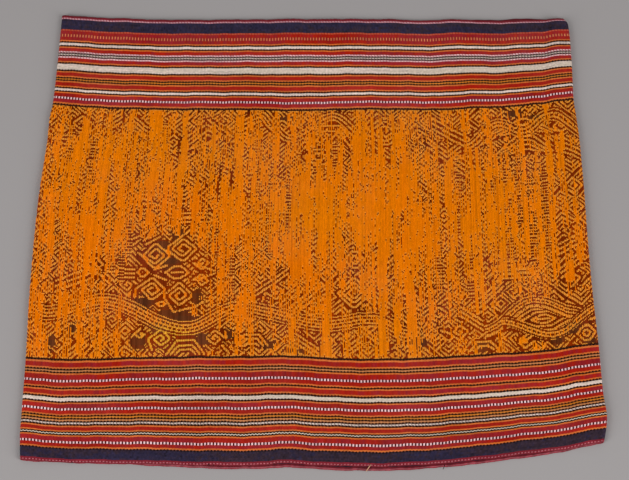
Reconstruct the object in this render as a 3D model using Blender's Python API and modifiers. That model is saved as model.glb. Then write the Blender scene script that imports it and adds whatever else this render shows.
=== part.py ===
"""Tube skirt laid flat on a table: three rings of cloth sewn edge to edge.

The waist is at +Y, the hem at -Y, and the side shown in the picture faces +Z. Each ring is a
flattened tube: its back layer lies on z = 0, its front layer lies on the back one, and the cloth
rounds over in a soft fold at each side. The origin is the middle of the underside.
"""

from collections import namedtuple
from math import cos, exp, pi, radians, sin, tanh

import bmesh
import bpy

MM = 0.001

# Driving dimensions, in metres.
CLOTH = 1.5 * MM
SEAM_GAP = 0.3 * MM
REST_GAP = 0.4 * MM
HEM = 0.0
LOWER_SEAM = 108.5 * MM
UPPER_SEAM = 386.0 * MM
WAIST = 496.0 * MM

# The skirt's lines across, from hem to waist, in millimetres: the line's height above the hem at
# the middle of the skirt, the skirt's left and right edges there, how far the line climbs towards
# each edge, the height of the soft fold at each edge, where the long crease crosses the line, and
# how far the line steps up beyond it.
Line = namedtuple("Line", "height left right climb_left climb_right fold_left fold_right crease step")
LINES = (
    Line(0, -285, 283, 6, 22, 5.4, 5.6, 250, 1.0),
    Line(12, -286, 286, 6, 22, 5.6, 6.0, 250, 1.0),
    Line(28, -287, 288, 5, 21, 5.8, 6.4, 250, 1.1),
    Line(52, -287, 286, 4, 19, 5.8, 6.6, 250, 1.2),
    Line(108, -287, 285, 2, 15, 5.6, 6.6, 251, 1.2),
    Line(162, -288, 283, 1, 12, 5.8, 6.6, 257, 1.4),
    Line(222, -288, 282, 1, 10, 6.0, 6.6, 254, 1.6),
    Line(287, -286, 282, 2, 9, 6.0, 6.8, 258, 1.8),
    Line(342, -282, 281, 4, 8, 5.8, 6.8, 255, 2.2),
    Line(374, -281, 279, 6, 8, 5.8, 6.8, 249, 2.4),
    Line(386, -279, 278, 6, 8, 5.6, 6.8, 248, 2.4),
    Line(437, -277, 279, 5, 5, 5.6, 6.8, 250, 2.2),
    Line(487, -276, 278, 4, 1, 5.4, 6.4, 253, 1.0),
    Line(496, -276, 274, 4, -1, 5.2, 6.0, 253, 0.6),
)

# Slow ripples in the lines: the ripple's middle and half width, and its rise at hem and waist.
Ripple = namedtuple("Ripple", "middle half_width at_hem at_waist")
RIPPLES = (
    Ripple(-165, 55, 0.6, -1.6),
    Ripple(-25, 24, 2.2, 0.3),
    Ripple(60, 40, -1.0, 0.4),
    Ripple(118, 22, -0.3, -1.2),
    Ripple(200, 24, 0.5, -1.8),
)

# Where the back layer reaches past the front one: at which edge, its middle and half width, how
# far it reaches at that edge, and the depth over which that dies away.
Lap = namedtuple("Lap", "edge way middle half_width reach depth")
LAPS = (
    Lap(HEM, -1, 60, 210, 3.6, 100),
    Lap(WAIST, 1, 222, 46, 2.6, 100),
)

# How far in from an edge the lines begin to climb, as a share of the half width, and how sharply.
CLIMB_START_LEFT = 0.35
CLIMB_START_RIGHT = 0.22
CLIMB_POWER = 1.6

# The front layer's height over the table: how far in each side fold fades, the long crease's half
# width and how far down it goes, and the slow swells of the cloth with their lengths across and
# along the skirt.
FOLD_FADE_LEFT = 26 * MM
FOLD_FADE_RIGHT = 34 * MM
CREASE_HALF_WIDTH = 6 * MM
CREASE_SHARE = 0.95
SWELL = 0.35 * MM
SWELL_ACROSS = 172 * MM
SWELL_ALONG = 410 * MM

# How finely the rings are drawn: steps across the front before the long crease, in its valley and
# beyond it, across the back, and round each side fold.
FRONT_STEPS = 34
VALLEY_STEPS = 6
VALLEY_HALF_WIDTH = 11 * MM
BEYOND_STEPS = 3
BACK_STEPS = 24
FOLD_STEPS = 6
BACK_SHIFT_RUN = 50 * MM

Strip = namedtuple("Strip", "name low high rings colour roughness")
STRIPS = (
    Strip("foot_strip", HEM, LOWER_SEAM - SEAM_GAP / 2, 8, (0.42, 0.045, 0.04), 0.85),
    Strip("body_cloth", LOWER_SEAM + SEAM_GAP / 2, UPPER_SEAM - SEAM_GAP / 2, 14, (0.72, 0.28, 0.03), 0.8),
    Strip("head_strip", UPPER_SEAM + SEAM_GAP / 2, WAIST, 8, (0.42, 0.045, 0.04), 0.85),
)


def between(height, column):
    """The value of a column of LINES at this height, on a smooth curve through its rows."""
    at = height / MM
    heights = [line.height for line in LINES]
    values = [getattr(line, column) for line in LINES]
    last = len(LINES) - 1
    row = max(i for i in range(last) if heights[i] <= at or i == 0)

    def slope(i):
        low, high = max(i - 1, 0), min(i + 1, last)
        return (values[high] - values[low]) / (heights[high] - heights[low])

    run = heights[row + 1] - heights[row]
    t = (at - heights[row]) / run
    value = (
        values[row] * (1 + 2 * t) * (1 - t) ** 2
        + slope(row) * run * t * (1 - t) ** 2
        + values[row + 1] * t * t * (3 - 2 * t)
        - slope(row + 1) * run * t * t * (1 - t)
    )
    return value * MM


def climb(height, x):
    """How far a line has risen at x, from the sides' climb, the long crease and the ripples."""
    left, right = between(height, "left"), between(height, "right")
    if x < 0:
        share = (x / left - CLIMB_START_LEFT) / (1 - CLIMB_START_LEFT)
        rise = between(height, "climb_left")
    else:
        share = (x / right - CLIMB_START_RIGHT) / (1 - CLIMB_START_RIGHT)
        rise = between(height, "climb_right")
    risen = rise * max(share, 0.0) ** CLIMB_POWER
    up = height / WAIST
    risen += between(height, "step") * (1 + tanh((x - between(height, "crease")) / CREASE_HALF_WIDTH)) / 2
    for ripple in RIPPLES:
        high = ripple.at_hem + (ripple.at_waist - ripple.at_hem) * up
        risen += high * MM * exp(-(((x / MM - ripple.middle) / ripple.half_width) ** 2))
    return risen


def lap(height, x):
    """How far the back layer is shifted along the skirt from the front one."""
    shift = 0.0
    for row in LAPS:
        away = abs(height - row.edge) / (row.depth * MM)
        if away < 1:
            fade = (1 + cos(pi * away)) / 2
            across = exp(-(((x / MM - row.middle) / row.half_width) ** 4))
            shift += row.way * row.reach * MM * across * fade
    return shift


def front_top(height, x):
    """The height of the front layer's upper face over the table."""
    flat = 2 * CLOTH + REST_GAP
    flat += SWELL * (1 + sin(2 * pi * (x / SWELL_ACROSS + height / SWELL_ALONG)))
    left, right = between(height, "left"), between(height, "right")
    fold_left, fold_right = between(height, "fold_left"), between(height, "fold_right")
    near_left = exp(-(((x - left - fold_left / 2) / FOLD_FADE_LEFT) ** 2))
    near_right = exp(-(((right - fold_right / 2 - x) / FOLD_FADE_RIGHT) ** 2))
    top = flat + (fold_left - flat) * near_left + (fold_right - flat) * near_right
    valley = exp(-(((x - between(height, "crease")) / CREASE_HALF_WIDTH) ** 2))
    return top - (top - 2 * CLOTH - REST_GAP) * CREASE_SHARE * valley


def spread(start, end, steps):
    """The places that start each of so many even steps from start to end."""
    return [start + (end - start) * i / steps for i in range(steps)]


def across_front(height, start, end):
    """The places across the front layer, closer together in the long crease."""
    crease = between(height, "crease")
    valley = crease - VALLEY_HALF_WIDTH, crease + VALLEY_HALF_WIDTH
    return (
        spread(start, valley[0], FRONT_STEPS)
        + spread(valley[0], valley[1], VALLEY_STEPS)
        + spread(valley[1], end, BEYOND_STEPS)
    )


def ring(height):
    """The outer points of the tube at this height: front, right fold, back, left fold."""
    left, right = between(height, "left"), between(height, "right")
    radius_left, radius_right = between(height, "fold_left") / 2, between(height, "fold_right") / 2
    start, end = left + radius_left, right - radius_right
    points = []
    middle = (WAIST - HEM) / 2

    def add(x, z, back):
        inward = min((x - left) / BACK_SHIFT_RUN, (right - x) / BACK_SHIFT_RUN, 1.0)
        shift = lap(height, x) * sin(pi / 2 * max(inward, 0.0)) if back else 0.0
        points.append((x, height - middle + climb(height, x) + shift, z))

    for x in across_front(height, start, end):
        add(x, front_top(height, x), False)
    for step in range(FOLD_STEPS):
        turn = radians(90 - 180 * step / FOLD_STEPS)
        add(end + radius_right * cos(turn), radius_right * (1 + sin(turn)), turn < 0)
    for x in spread(end, start, BACK_STEPS):
        add(x, 0.0, True)
    for step in range(FOLD_STEPS):
        turn = radians(270 - 180 * step / FOLD_STEPS)
        add(start + radius_left * cos(turn), radius_left * (1 + sin(turn)), turn > pi)
    return points


def cloth_material(strip):
    material = bpy.data.materials.new(strip.name + "_cloth")
    material.use_nodes = True
    shader = material.node_tree.nodes["Principled BSDF"]
    shader.inputs["Base Color"].default_value = (*strip.colour, 1.0)
    shader.inputs["Roughness"].default_value = strip.roughness
    shader.inputs["Metallic"].default_value = 0.0
    return material


def tube(strip, collection):
    """One ring of cloth: a loft through its sections, given its wall by Solidify."""
    shape = bmesh.new()
    step = (strip.high - strip.low) / (strip.rings - 1)
    rows = []
    for number in range(strip.rings):
        points = ring(strip.low + number * step)
        rows.append([shape.verts.new(point) for point in points])
    for lower, upper in zip(rows, rows[1:]):
        around = len(lower)
        for i in range(around):
            j = (i + 1) % around
            shape.faces.new((lower[i], lower[j], upper[j], upper[i]))
    mesh = bpy.data.meshes.new(strip.name)
    shape.to_mesh(mesh)
    shape.free()
    mesh.materials.append(cloth_material(strip))
    mesh.shade_smooth()
    piece = bpy.data.objects.new(strip.name, mesh)
    collection.objects.link(piece)
    wall = piece.modifiers.new("wall", "SOLIDIFY")
    wall.thickness = CLOTH
    wall.offset = -1
    wall.use_even_offset = True
    wall.use_rim = True
    return piece


def centre(pieces):
    """Moves the pieces so that the middle of their common underside is the origin."""
    corners = [vertex.co for piece in pieces for vertex in piece.data.vertices]
    middle_x = (min(c.x for c in corners) + max(c.x for c in corners)) / 2
    middle_y = (min(c.y for c in corners) + max(c.y for c in corners)) / 2
    for corner in corners:
        corner.x -= middle_x
        corner.y -= middle_y


def main():
    for thing in list(bpy.data.objects):
        bpy.data.objects.remove(thing, do_unlink=True)
    collection = bpy.data.collections.new("tube_skirt")
    bpy.context.scene.collection.children.link(collection)
    centre([tube(strip, collection) for strip in STRIPS])


main()
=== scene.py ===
"""Looks of a tube skirt laid flat on a table: woven strips, patterned field, folds and light.

The skirt is three rings of cloth sewn edge to edge: a striped head strip, a field with a pattern
of floating orange yarns on a dark ground, and a striped foot strip. The waist is at +Y and the
hem at -Y. The side that the photograph shows faces +Z, and the underside lies on z = 0.

A place on the cloth is given by two numbers. `around` is a share of one turn of the tube, counted
from the left side fold across the front, and `height` is the distance above the hem. The crossing
yarns, called picks here, run up and down and stand at even steps of `around`.
"""

import logging
from dataclasses import dataclass, field
from enum import Enum
from math import cos, pi, radians, sin
from typing import NamedTuple

import bpy
import numpy as np
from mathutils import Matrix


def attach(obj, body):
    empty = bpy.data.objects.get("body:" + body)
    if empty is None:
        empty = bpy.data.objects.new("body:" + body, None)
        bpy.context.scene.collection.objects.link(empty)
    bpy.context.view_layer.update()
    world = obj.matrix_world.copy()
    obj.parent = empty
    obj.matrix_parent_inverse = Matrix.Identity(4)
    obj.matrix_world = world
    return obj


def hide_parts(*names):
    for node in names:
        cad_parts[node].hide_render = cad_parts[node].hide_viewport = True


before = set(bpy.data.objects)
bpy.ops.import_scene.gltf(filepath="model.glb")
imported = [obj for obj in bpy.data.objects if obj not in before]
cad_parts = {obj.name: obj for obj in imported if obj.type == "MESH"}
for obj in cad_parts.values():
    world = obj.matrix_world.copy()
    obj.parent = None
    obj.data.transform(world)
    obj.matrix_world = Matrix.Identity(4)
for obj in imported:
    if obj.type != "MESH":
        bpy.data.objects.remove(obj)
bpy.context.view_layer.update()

MM = 0.001
ROOT = "root"

# The seams and the waist, as heights above the hem, and the gap between two rings of cloth.
LOWER_SEAM = 108.5 * MM
UPPER_SEAM = 386.0 * MM
WAIST = 496.0 * MM
SEAM_GAP = 0.3 * MM

# The picks once round the tube, in the strips and the ground, and in the orange yarns.
PICKS = 704
FIELD_PICKS = 1020

# How finely the tube is measured: round it and up it for its box, and round it for its girth.
BOX_STEPS = (481, 63)
GIRTH_STEPS = 2000

# A distance beyond all others, and a number too small to matter.
FAR = 1e9
TINY = 1e-9

log = logging.getLogger("tube_skirt")


# The lie of the cloth.


@dataclass(frozen=True)
class Line:
    """One line across the skirt, in millimetres.

    Its height above the hem at the middle, the skirt's left and right edges there, how far the
    line climbs towards each edge, the height of the soft fold at each edge, where the long crease
    crosses it, and how far it steps up beyond the crease.
    """

    height: float
    left: float
    right: float
    climb_left: float
    climb_right: float
    fold_left: float
    fold_right: float
    crease: float
    step: float


@dataclass(frozen=True)
class Ripple:
    """A slow ripple in the lines: its middle and half width, and its rise at hem and waist."""

    middle: float
    half_width: float
    at_hem: float
    at_waist: float


@dataclass(frozen=True)
class Lap:
    """A place where the back layer reaches past the front one, at one edge of the skirt."""

    edge: float
    way: int
    middle: float
    half_width: float
    reach: float
    depth: float


@dataclass(frozen=True)
class Drift:
    """A place where the woven lines have drifted along the skirt, in millimetres.

    Its middle, how far it reaches across and along the skirt, and how far the lines rise there.
    """

    x: float
    height: float
    across: float
    along: float
    rise: float


@dataclass(frozen=True)
class Wobble:
    """A fine wave in the woven lines, in millimetres: waves in one turn, slant, size and phase."""

    turns: int
    slant: float
    size: float
    phase: float


@dataclass
class Drape:
    """How the flattened tube lies on the table. The numbers are those of the solids.

    The drifts and wobbles are finer than the solids: they move the woven lines by a millimetre or
    two along the skirt, and its outline by less than one. `probe` is the small step that finds
    the way a point faces, and `rough_girth` turns it into a share of one turn.
    """

    waist: float = WAIST
    cloth: float = 1.5 * MM
    rest_gap: float = 0.4 * MM
    lines: tuple[Line, ...] = (
        Line(0, -285, 283, 6, 22, 5.4, 5.6, 250, 1.0),
        Line(12, -286, 286, 6, 22, 5.6, 6.0, 250, 1.0),
        Line(28, -287, 288, 5, 21, 5.8, 6.4, 250, 1.1),
        Line(52, -287, 286, 4, 19, 5.8, 6.6, 250, 1.2),
        Line(108, -287, 285, 2, 15, 5.6, 6.6, 251, 1.2),
        Line(162, -288, 283, 1, 12, 5.8, 6.6, 257, 1.4),
        Line(222, -288, 282, 1, 10, 6.0, 6.6, 254, 1.6),
        Line(287, -286, 282, 2, 9, 6.0, 6.8, 258, 1.8),
        Line(342, -282, 281, 4, 8, 5.8, 6.8, 255, 2.2),
        Line(374, -281, 279, 6, 8, 5.8, 6.8, 249, 2.4),
        Line(386, -279, 278, 6, 8, 5.6, 6.8, 248, 2.4),
        Line(437, -277, 279, 5, 5, 5.6, 6.8, 250, 2.2),
        Line(487, -276, 278, 4, 1, 5.4, 6.4, 253, 1.0),
        Line(496, -276, 274, 4, -1, 5.2, 6.0, 253, 0.6),
    )
    ripples: tuple[Ripple, ...] = (
        Ripple(-165, 55, 0.6, -1.6),
        Ripple(-25, 24, 2.2, 0.3),
        Ripple(60, 40, -1.0, 0.4),
        Ripple(118, 22, -0.3, -1.2),
        Ripple(200, 24, 0.5, -1.8),
    )
    laps: tuple[Lap, ...] = (
        Lap(0, -1, 60, 210, 3.6, 100),
        Lap(496, 1, 222, 46, 2.6, 100),
    )
    drifts: tuple[Drift, ...] = (
        Drift(-245, 80, 44, 70, -2.6),
        Drift(-85, 92, 70, 48, 2.4),
        Drift(225, 72, 80, 46, -2.2),
        Drift(0, 386, 600, 42, -0.9),
        Drift(-18, 388, 34, 40, -1.9),
        Drift(146, 388, 26, 36, -1.2),
        Drift(-240, 386, 40, 44, -1.3),
        Drift(120, 40, 60, 40, -0.8),
    )
    wobbles: tuple[Wobble, ...] = (
        Wobble(19, 0.004, 0.19, 0.3),
        Wobble(31, -0.006, 0.16, 1.9),
        Wobble(53, 0.009, 0.12, 4.1),
        Wobble(83, -0.005, 0.08, 2.6),
    )
    climb_start_left: float = 0.35
    climb_start_right: float = 0.22
    climb_power: float = 1.6
    fold_fade_left: float = 26 * MM
    fold_fade_right: float = 34 * MM
    crease_half_width: float = 6 * MM
    crease_share: float = 0.95
    swell: float = 0.35 * MM
    swell_across: float = 172 * MM
    swell_along: float = 410 * MM
    back_shift_run: float = 50 * MM
    probe: float = 0.4 * MM
    rough_girth: float = 1.15
    shift: np.ndarray = field(default_factory=lambda: np.zeros(3))

    def __post_init__(self) -> None:
        """Moves the tube so that the middle of its underside is the origin."""
        around = np.linspace(0, 1, BOX_STEPS[0])
        height = np.linspace(0, self.waist, BOX_STEPS[1])
        points = self.outer(*np.meshgrid(around, height)).reshape(-1, 3)
        middle = (points.min(axis=0) + points.max(axis=0)) / 2
        self.shift = np.array([-middle[0], -middle[1], 0.0])

    def column(self, name: str, height: np.ndarray) -> np.ndarray:
        """A column of the lines at these heights, on a smooth curve through its rows.

        Args:
            name: The field of Line to read.
            height: Heights above the hem, in metres.

        Returns:
            The values there, in metres.
        """
        heights = np.array([line.height for line in self.lines], float)
        values = np.array([getattr(line, name) for line in self.lines], float)
        last = len(heights) - 1
        lower = np.maximum(np.arange(last + 1) - 1, 0)
        upper = np.minimum(np.arange(last + 1) + 1, last)
        slopes = (values[upper] - values[lower]) / (heights[upper] - heights[lower])
        at = np.asarray(height, float) / MM
        row = np.clip(np.searchsorted(heights, at, side="right") - 1, 0, last - 1)
        run = heights[row + 1] - heights[row]
        t = (at - heights[row]) / run
        value = values[row] * (1 + 2 * t) * (1 - t) ** 2 + slopes[row] * run * t * (1 - t) ** 2
        value += values[row + 1] * t * t * (3 - 2 * t) - slopes[row + 1] * run * t * t * (1 - t)
        return value * MM

    def climb(self, height: np.ndarray, x: np.ndarray) -> np.ndarray:
        """How far a line has risen at x, from the sides' climb, the crease and the ripples.

        Args:
            height: Heights above the hem.
            x: Places across the skirt.

        Returns:
            The rise of the line at each place.
        """
        left, right = self.column("left", height), self.column("right", height)
        share_left = (x / left - self.climb_start_left) / (1 - self.climb_start_left)
        share_right = (x / right - self.climb_start_right) / (1 - self.climb_start_right)
        share = np.maximum(np.where(x < 0, share_left, share_right), 0.0)
        rise = np.where(x < 0, self.column("climb_left", height), self.column("climb_right", height))
        risen = rise * share**self.climb_power
        past = (x - self.column("crease", height)) / self.crease_half_width
        risen = risen + self.column("step", height) * (1 + np.tanh(past)) / 2
        up = height / self.waist
        for ripple in self.ripples:
            high = ripple.at_hem + (ripple.at_waist - ripple.at_hem) * up
            away = (x / MM - ripple.middle) / ripple.half_width
            risen = risen + high * MM * np.exp(-(away**2))
        return risen

    def drift(self, height: np.ndarray, x: np.ndarray, around: np.ndarray) -> np.ndarray:
        """How far the woven lines have moved along the skirt, beyond the solids' own climb.

        Args:
            height: Heights above the hem.
            x: Places across the skirt.
            around: Shares of one turn of the tube.

        Returns:
            The rise of the line at each place.
        """
        rise = np.zeros(np.broadcast(height, x).shape)
        for drift in self.drifts:
            away = ((x / MM - drift.x) / drift.across) ** 2
            away = away + ((height / MM - drift.height) / drift.along) ** 2
            rise = rise + drift.rise * MM * np.exp(-away)
        for wobble in self.wobbles:
            turn = 2 * pi * (wobble.turns * around + wobble.slant * height / MM) + wobble.phase
            rise = rise + wobble.size * MM * np.sin(turn)
        return rise

    def lap(self, height: np.ndarray, x: np.ndarray) -> np.ndarray:
        """How far the back layer is shifted along the skirt from the front one.

        Args:
            height: Heights above the hem.
            x: Places across the skirt.

        Returns:
            The shift, which is positive towards the waist.
        """
        shift = np.zeros(np.broadcast(height, x).shape)
        for lap in self.laps:
            away = np.minimum(np.abs(height / MM - lap.edge) / lap.depth, 1.0)
            across = np.exp(-(((x / MM - lap.middle) / lap.half_width) ** 4))
            shift += lap.way * lap.reach * MM * across * (1 + np.cos(pi * away)) / 2
        return shift

    def front_top(self, height: np.ndarray, x: np.ndarray) -> np.ndarray:
        """The height of the front layer's upper face over the table.

        Args:
            height: Heights above the hem.
            x: Places across the skirt.

        Returns:
            The height over the table at each place.
        """
        lying = 2 * self.cloth + self.rest_gap
        wave = np.sin(2 * pi * (x / self.swell_across + height / self.swell_along))
        flat = lying + self.swell * (1 + wave)
        left, right = self.column("left", height), self.column("right", height)
        fold_left, fold_right = self.column("fold_left", height), self.column("fold_right", height)
        near_left = np.exp(-(((x - left - fold_left / 2) / self.fold_fade_left) ** 2))
        near_right = np.exp(-(((right - fold_right / 2 - x) / self.fold_fade_right) ** 2))
        top = flat + (fold_left - flat) * near_left + (fold_right - flat) * near_right
        away = (x - self.column("crease", height)) / self.crease_half_width
        return top - (top - lying) * self.crease_share * np.exp(-(away**2))

    def outer(self, around: np.ndarray, height: np.ndarray) -> np.ndarray:
        """Points on the outer face of the cloth, before the shift to the origin.

        Args:
            around: Shares of one turn of the tube, from the left side fold.
            height: Heights above the hem, in metres.

        Returns:
            An array of points, with x, y and z along its last axis.
        """
        around, height = np.broadcast_arrays(np.asarray(around, float) % 1.0, height)
        left, right = self.column("left", height), self.column("right", height)
        radius_left = self.column("fold_left", height) / 2
        radius_right = self.column("fold_right", height) / 2
        start, end = left + radius_left, right - radius_right
        layer = end - start
        along = around * (2 * layer + pi * (radius_left + radius_right))
        after_right = along - layer - pi * radius_right
        on_right, on_back = along >= layer, after_right >= 0
        on_left = after_right >= layer
        turn_right = pi / 2 - (along - layer) / radius_right
        turn_left = 1.5 * pi - (after_right - layer) / radius_left
        x = np.select(
            [on_left, on_back, on_right],
            [start + radius_left * np.cos(turn_left), end - after_right,
             end + radius_right * np.cos(turn_right)],
            start + along,
        )
        z = np.select(
            [on_left, on_back, on_right],
            [radius_left * (1 + np.sin(turn_left)), 0.0 * along,
             radius_right * (1 + np.sin(turn_right))],
            self.front_top(height, x),
        )
        behind = np.select([on_left, on_back, on_right], [turn_left > pi, True, turn_right < 0], False)
        inward = np.minimum(np.minimum(x - left, right - x) / self.back_shift_run, 1.0)
        shift = self.lap(height, x) * np.sin(pi / 2 * np.maximum(inward, 0.0))
        y = height - self.waist / 2 + self.climb(height, x) + np.where(behind, shift, 0.0)
        y = y + self.drift(height, x, around)
        return np.stack([x, y, z], axis=-1)

    def point(self, around: np.ndarray, height: np.ndarray, lift: np.ndarray) -> np.ndarray:
        """Points off the outer face of the cloth, in the frame of the solids.

        Args:
            around: Shares of one turn of the tube.
            height: Heights above the hem, in metres.
            lift: How far each point stands outside the outer face; negative is inside it.

        Returns:
            An array of points, with x, y and z along its last axis.
        """
        around, height, lift = np.broadcast_arrays(around, height, lift)
        step = self.probe / self.rough_girth
        across = self.outer(around + step, height) - self.outer(around - step, height)
        above = np.minimum(height + self.probe, self.waist)
        below = np.maximum(height - self.probe, 0.0)
        up = self.outer(around, above) - self.outer(around, below)
        normal = np.cross(across, up)
        normal /= np.linalg.norm(normal, axis=-1, keepdims=True)
        return self.outer(around, height) + self.shift + normal * lift[..., None]

    def girth(self, height: float) -> float:
        """Measures the tube.

        Args:
            height: A height above the hem.

        Returns:
            The length once round the outer face there.
        """
        around = np.linspace(0, 1, GIRTH_STEPS, endpoint=False)
        ring = self.outer(around, np.full(GIRTH_STEPS, height))
        steps = np.diff(np.vstack([ring, ring[:1]]), axis=0)
        return float(np.linalg.norm(steps, axis=1).sum())


# Colours, and the way they are woven in.


def to_linear(colour: tuple[int, int, int]) -> np.ndarray:
    """The linear light of a display colour from 0 to 255."""
    share = np.array(colour) / 255
    return np.where(share <= 0.04045, share / 12.92, ((share + 0.055) / 1.055) ** 2.4)


class Dye(Enum):
    """The dyed yarns of the skirt, as display colours from 0 to 255."""

    RED = (169, 32, 18)
    CRIMSON = (154, 34, 40)
    SELVEDGE = (132, 34, 46)
    WINE = (116, 26, 36)
    ROSE = (186, 104, 114)
    BLUSH = (208, 152, 162)
    SCARLET = (190, 84, 56)
    GOLD = (206, 122, 40)
    ORANGE = (214, 110, 50)
    FIELD = (243, 130, 2)
    DEEP = (230, 104, 2)
    STRAW = (234, 170, 46)
    # Used only as a painted highlight on the orange floats.
    HONEY_HIGHLIGHT = (236, 160, 64)
    AMBER = (228, 150, 88)
    FLAX = (214, 166, 130)
    TAN = (202, 130, 80)
    RUST = (80, 36, 14)
    INDIGO = (53, 39, 50)
    NAVY = (44, 38, 62)
    PLUM = (90, 50, 26)
    BROWN = (30, 10, 2)
    UMBER = (64, 30, 14)
    MAROON = (52, 6, 12)
    GROUND = (132, 42, 0)
    SMOKE = (112, 84, 78)
    CREAM = (216, 198, 180)
    WHITE = (228, 206, 194)
    PINK = (250, 204, 206)

    @property
    def linear(self) -> np.ndarray:
        """The colour in the linear light that shaders use."""
        return to_linear(self.value)


class Figure(Enum):
    """How a stripe is woven.

    The four letters are the colours of four half picks in turn: `a` is the stripe's own colour
    and `b` the second one. Then come the rows that the stripe has, and how far their edges step
    from pick to pick, in millimetres.
    """

    PLAIN = ("aaaa", 1, 0.13)
    WIDE = ("aaaa", 5, 0.10)
    TEETH = ("aabb", 1, 0.12)
    DASHES = ("aabb", 1, 0.10)
    LONG_DASHES = ("aaab", 1, 0.12)
    DOTS = ("aabb", 1, 0.04)
    TICKS = ("abbb", 1, 0.06)
    ZIGZAG = ("aaaa", 1, 0.45)


@dataclass(frozen=True)
class Weave:
    """How a stripe is woven and dyed: its figure, its own dye and the second one.

    `turn` is the dye that its own one drifts to in places.
    """

    figure: Figure
    dye: Dye
    second: Dye = Dye.BROWN
    turn: Dye | None = None


ORANGE = Weave(Figure.PLAIN, Dye.ORANGE)
TEETH = Weave(Figure.TEETH, Dye.BROWN, Dye.RUST)
RED_TURNING = Weave(Figure.PLAIN, Dye.RED, turn=Dye.CRIMSON)
CRIMSON_TURNING = Weave(Figure.PLAIN, Dye.CRIMSON, turn=Dye.RED)
RED = Weave(Figure.PLAIN, Dye.RED)
PINK_DOTS = Weave(Figure.DOTS, Dye.PINK, Dye.MAROON)
SELVEDGE = Weave(Figure.PLAIN, Dye.SELVEDGE)
INDIGO = Weave(Figure.WIDE, Dye.INDIGO, turn=Dye.NAVY)
WHITE = Weave(Figure.PLAIN, Dye.WHITE)
PINK_DASHES = Weave(Figure.LONG_DASHES, Dye.PINK, Dye.CRIMSON)
SMOKE_TEETH = Weave(Figure.TEETH, Dye.BROWN, Dye.SMOKE)
CREAM = Weave(Figure.WIDE, Dye.CREAM, turn=Dye.WHITE)
GOLD = Weave(Figure.PLAIN, Dye.GOLD)
TAN = Weave(Figure.PLAIN, Dye.TAN)
BROWN = Weave(Figure.PLAIN, Dye.BROWN)
BLUSH_DASHES = Weave(Figure.LONG_DASHES, Dye.BLUSH, Dye.SELVEDGE)
SCARLET_DASHES = Weave(Figure.LONG_DASHES, Dye.SCARLET, Dye.RED)
AMBER_TICKS = Weave(Figure.TICKS, Dye.AMBER, Dye.CRIMSON)
WHITE_DASHES = Weave(Figure.LONG_DASHES, Dye.WHITE, Dye.BROWN)
SMOKE_DASHES = Weave(Figure.LONG_DASHES, Dye.WHITE, Dye.SMOKE)
ZIGZAG = Weave(Figure.ZIGZAG, Dye.CREAM)
INDIGO_TEETH = Weave(Figure.TEETH, Dye.BROWN, Dye.INDIGO)
ROSE_DASHES = Weave(Figure.DASHES, Dye.ROSE, Dye.WINE)


@dataclass(frozen=True)
class Stripe:
    """One stripe of a strip: its width in millimetres, and its weave."""

    width: float
    weave: Weave


# The stripes of each strip, from its upper edge down.
HEAD_STRIPES = tuple(Stripe(*row) for row in (
    (3.1, SELVEDGE), (1.6, BLUSH_DASHES), (12.6, INDIGO), (1.8, SCARLET_DASHES), (4.1, RED_TURNING),
    (3.2, AMBER_TICKS), (4.1, RED_TURNING), (1.5, ORANGE), (1.9, TEETH), (2.8, WHITE), (1.9, TEETH),
    (1.5, ORANGE), (4.0, RED_TURNING), (1.6, PINK_DASHES), (1.7, SMOKE_TEETH), (1.3, WHITE_DASHES),
    (1.7, SMOKE_TEETH), (1.6, PINK_DASHES), (4.0, CRIMSON_TURNING), (1.5, ORANGE), (1.9, TEETH),
    (6.7, CREAM), (2.0, TEETH), (1.5, ORANGE), (3.9, RED), (1.5, ORANGE), (1.7, TEETH), (1.2, GOLD),
    (1.6, TEETH), (1.6, ORANGE), (4.1, RED), (1.4, ORANGE), (1.8, TEETH), (2.4, WHITE),
    (1.7, TEETH), (1.4, ORANGE), (4.2, CRIMSON_TURNING), (2.4, PINK_DOTS), (4.1, RED_TURNING),
    (1.7, ORANGE), (1.8, TEETH),
))

FOOT_STRIPES = tuple(Stripe(*row) for row in (
    (1.9, TEETH), (1.9, ORANGE), (4.8, CRIMSON_TURNING), (1.6, ORANGE), (1.8, TEETH), (1.4, TAN),
    (1.6, TEETH), (1.6, ORANGE), (5.4, CRIMSON_TURNING), (2.4, PINK_DOTS), (4.2, RED),
    (1.4, ORANGE), (1.8, TEETH), (1.4, ORANGE), (4.4, RED_TURNING), (1.4, ORANGE), (2.0, TEETH),
    (3.6, CREAM), (1.8, TEETH), (1.3, ORANGE), (4.5, RED_TURNING), (2.4, PINK_DOTS), (3.8, RED),
    (1.4, ORANGE), (1.6, TEETH), (1.4, GOLD), (1.7, TEETH), (1.5, TAN), (1.7, TEETH),
    (1.6, SMOKE_DASHES), (1.8, TEETH), (1.5, ORANGE), (3.5, RED), (1.4, ORANGE), (1.4, BROWN),
    (1.0, ZIGZAG), (1.5, BROWN), (1.5, ORANGE), (4.9, CRIMSON_TURNING), (2.4, PINK_DOTS),
    (3.5, RED_TURNING), (1.6, ORANGE), (1.6, INDIGO_TEETH), (9.6, INDIGO), (1.7, SELVEDGE),
    (1.2, ROSE_DASHES), (0.7, SELVEDGE),
))


# How steeply the noise's finer waves fall off.
NOISE_FALL = 10


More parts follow.
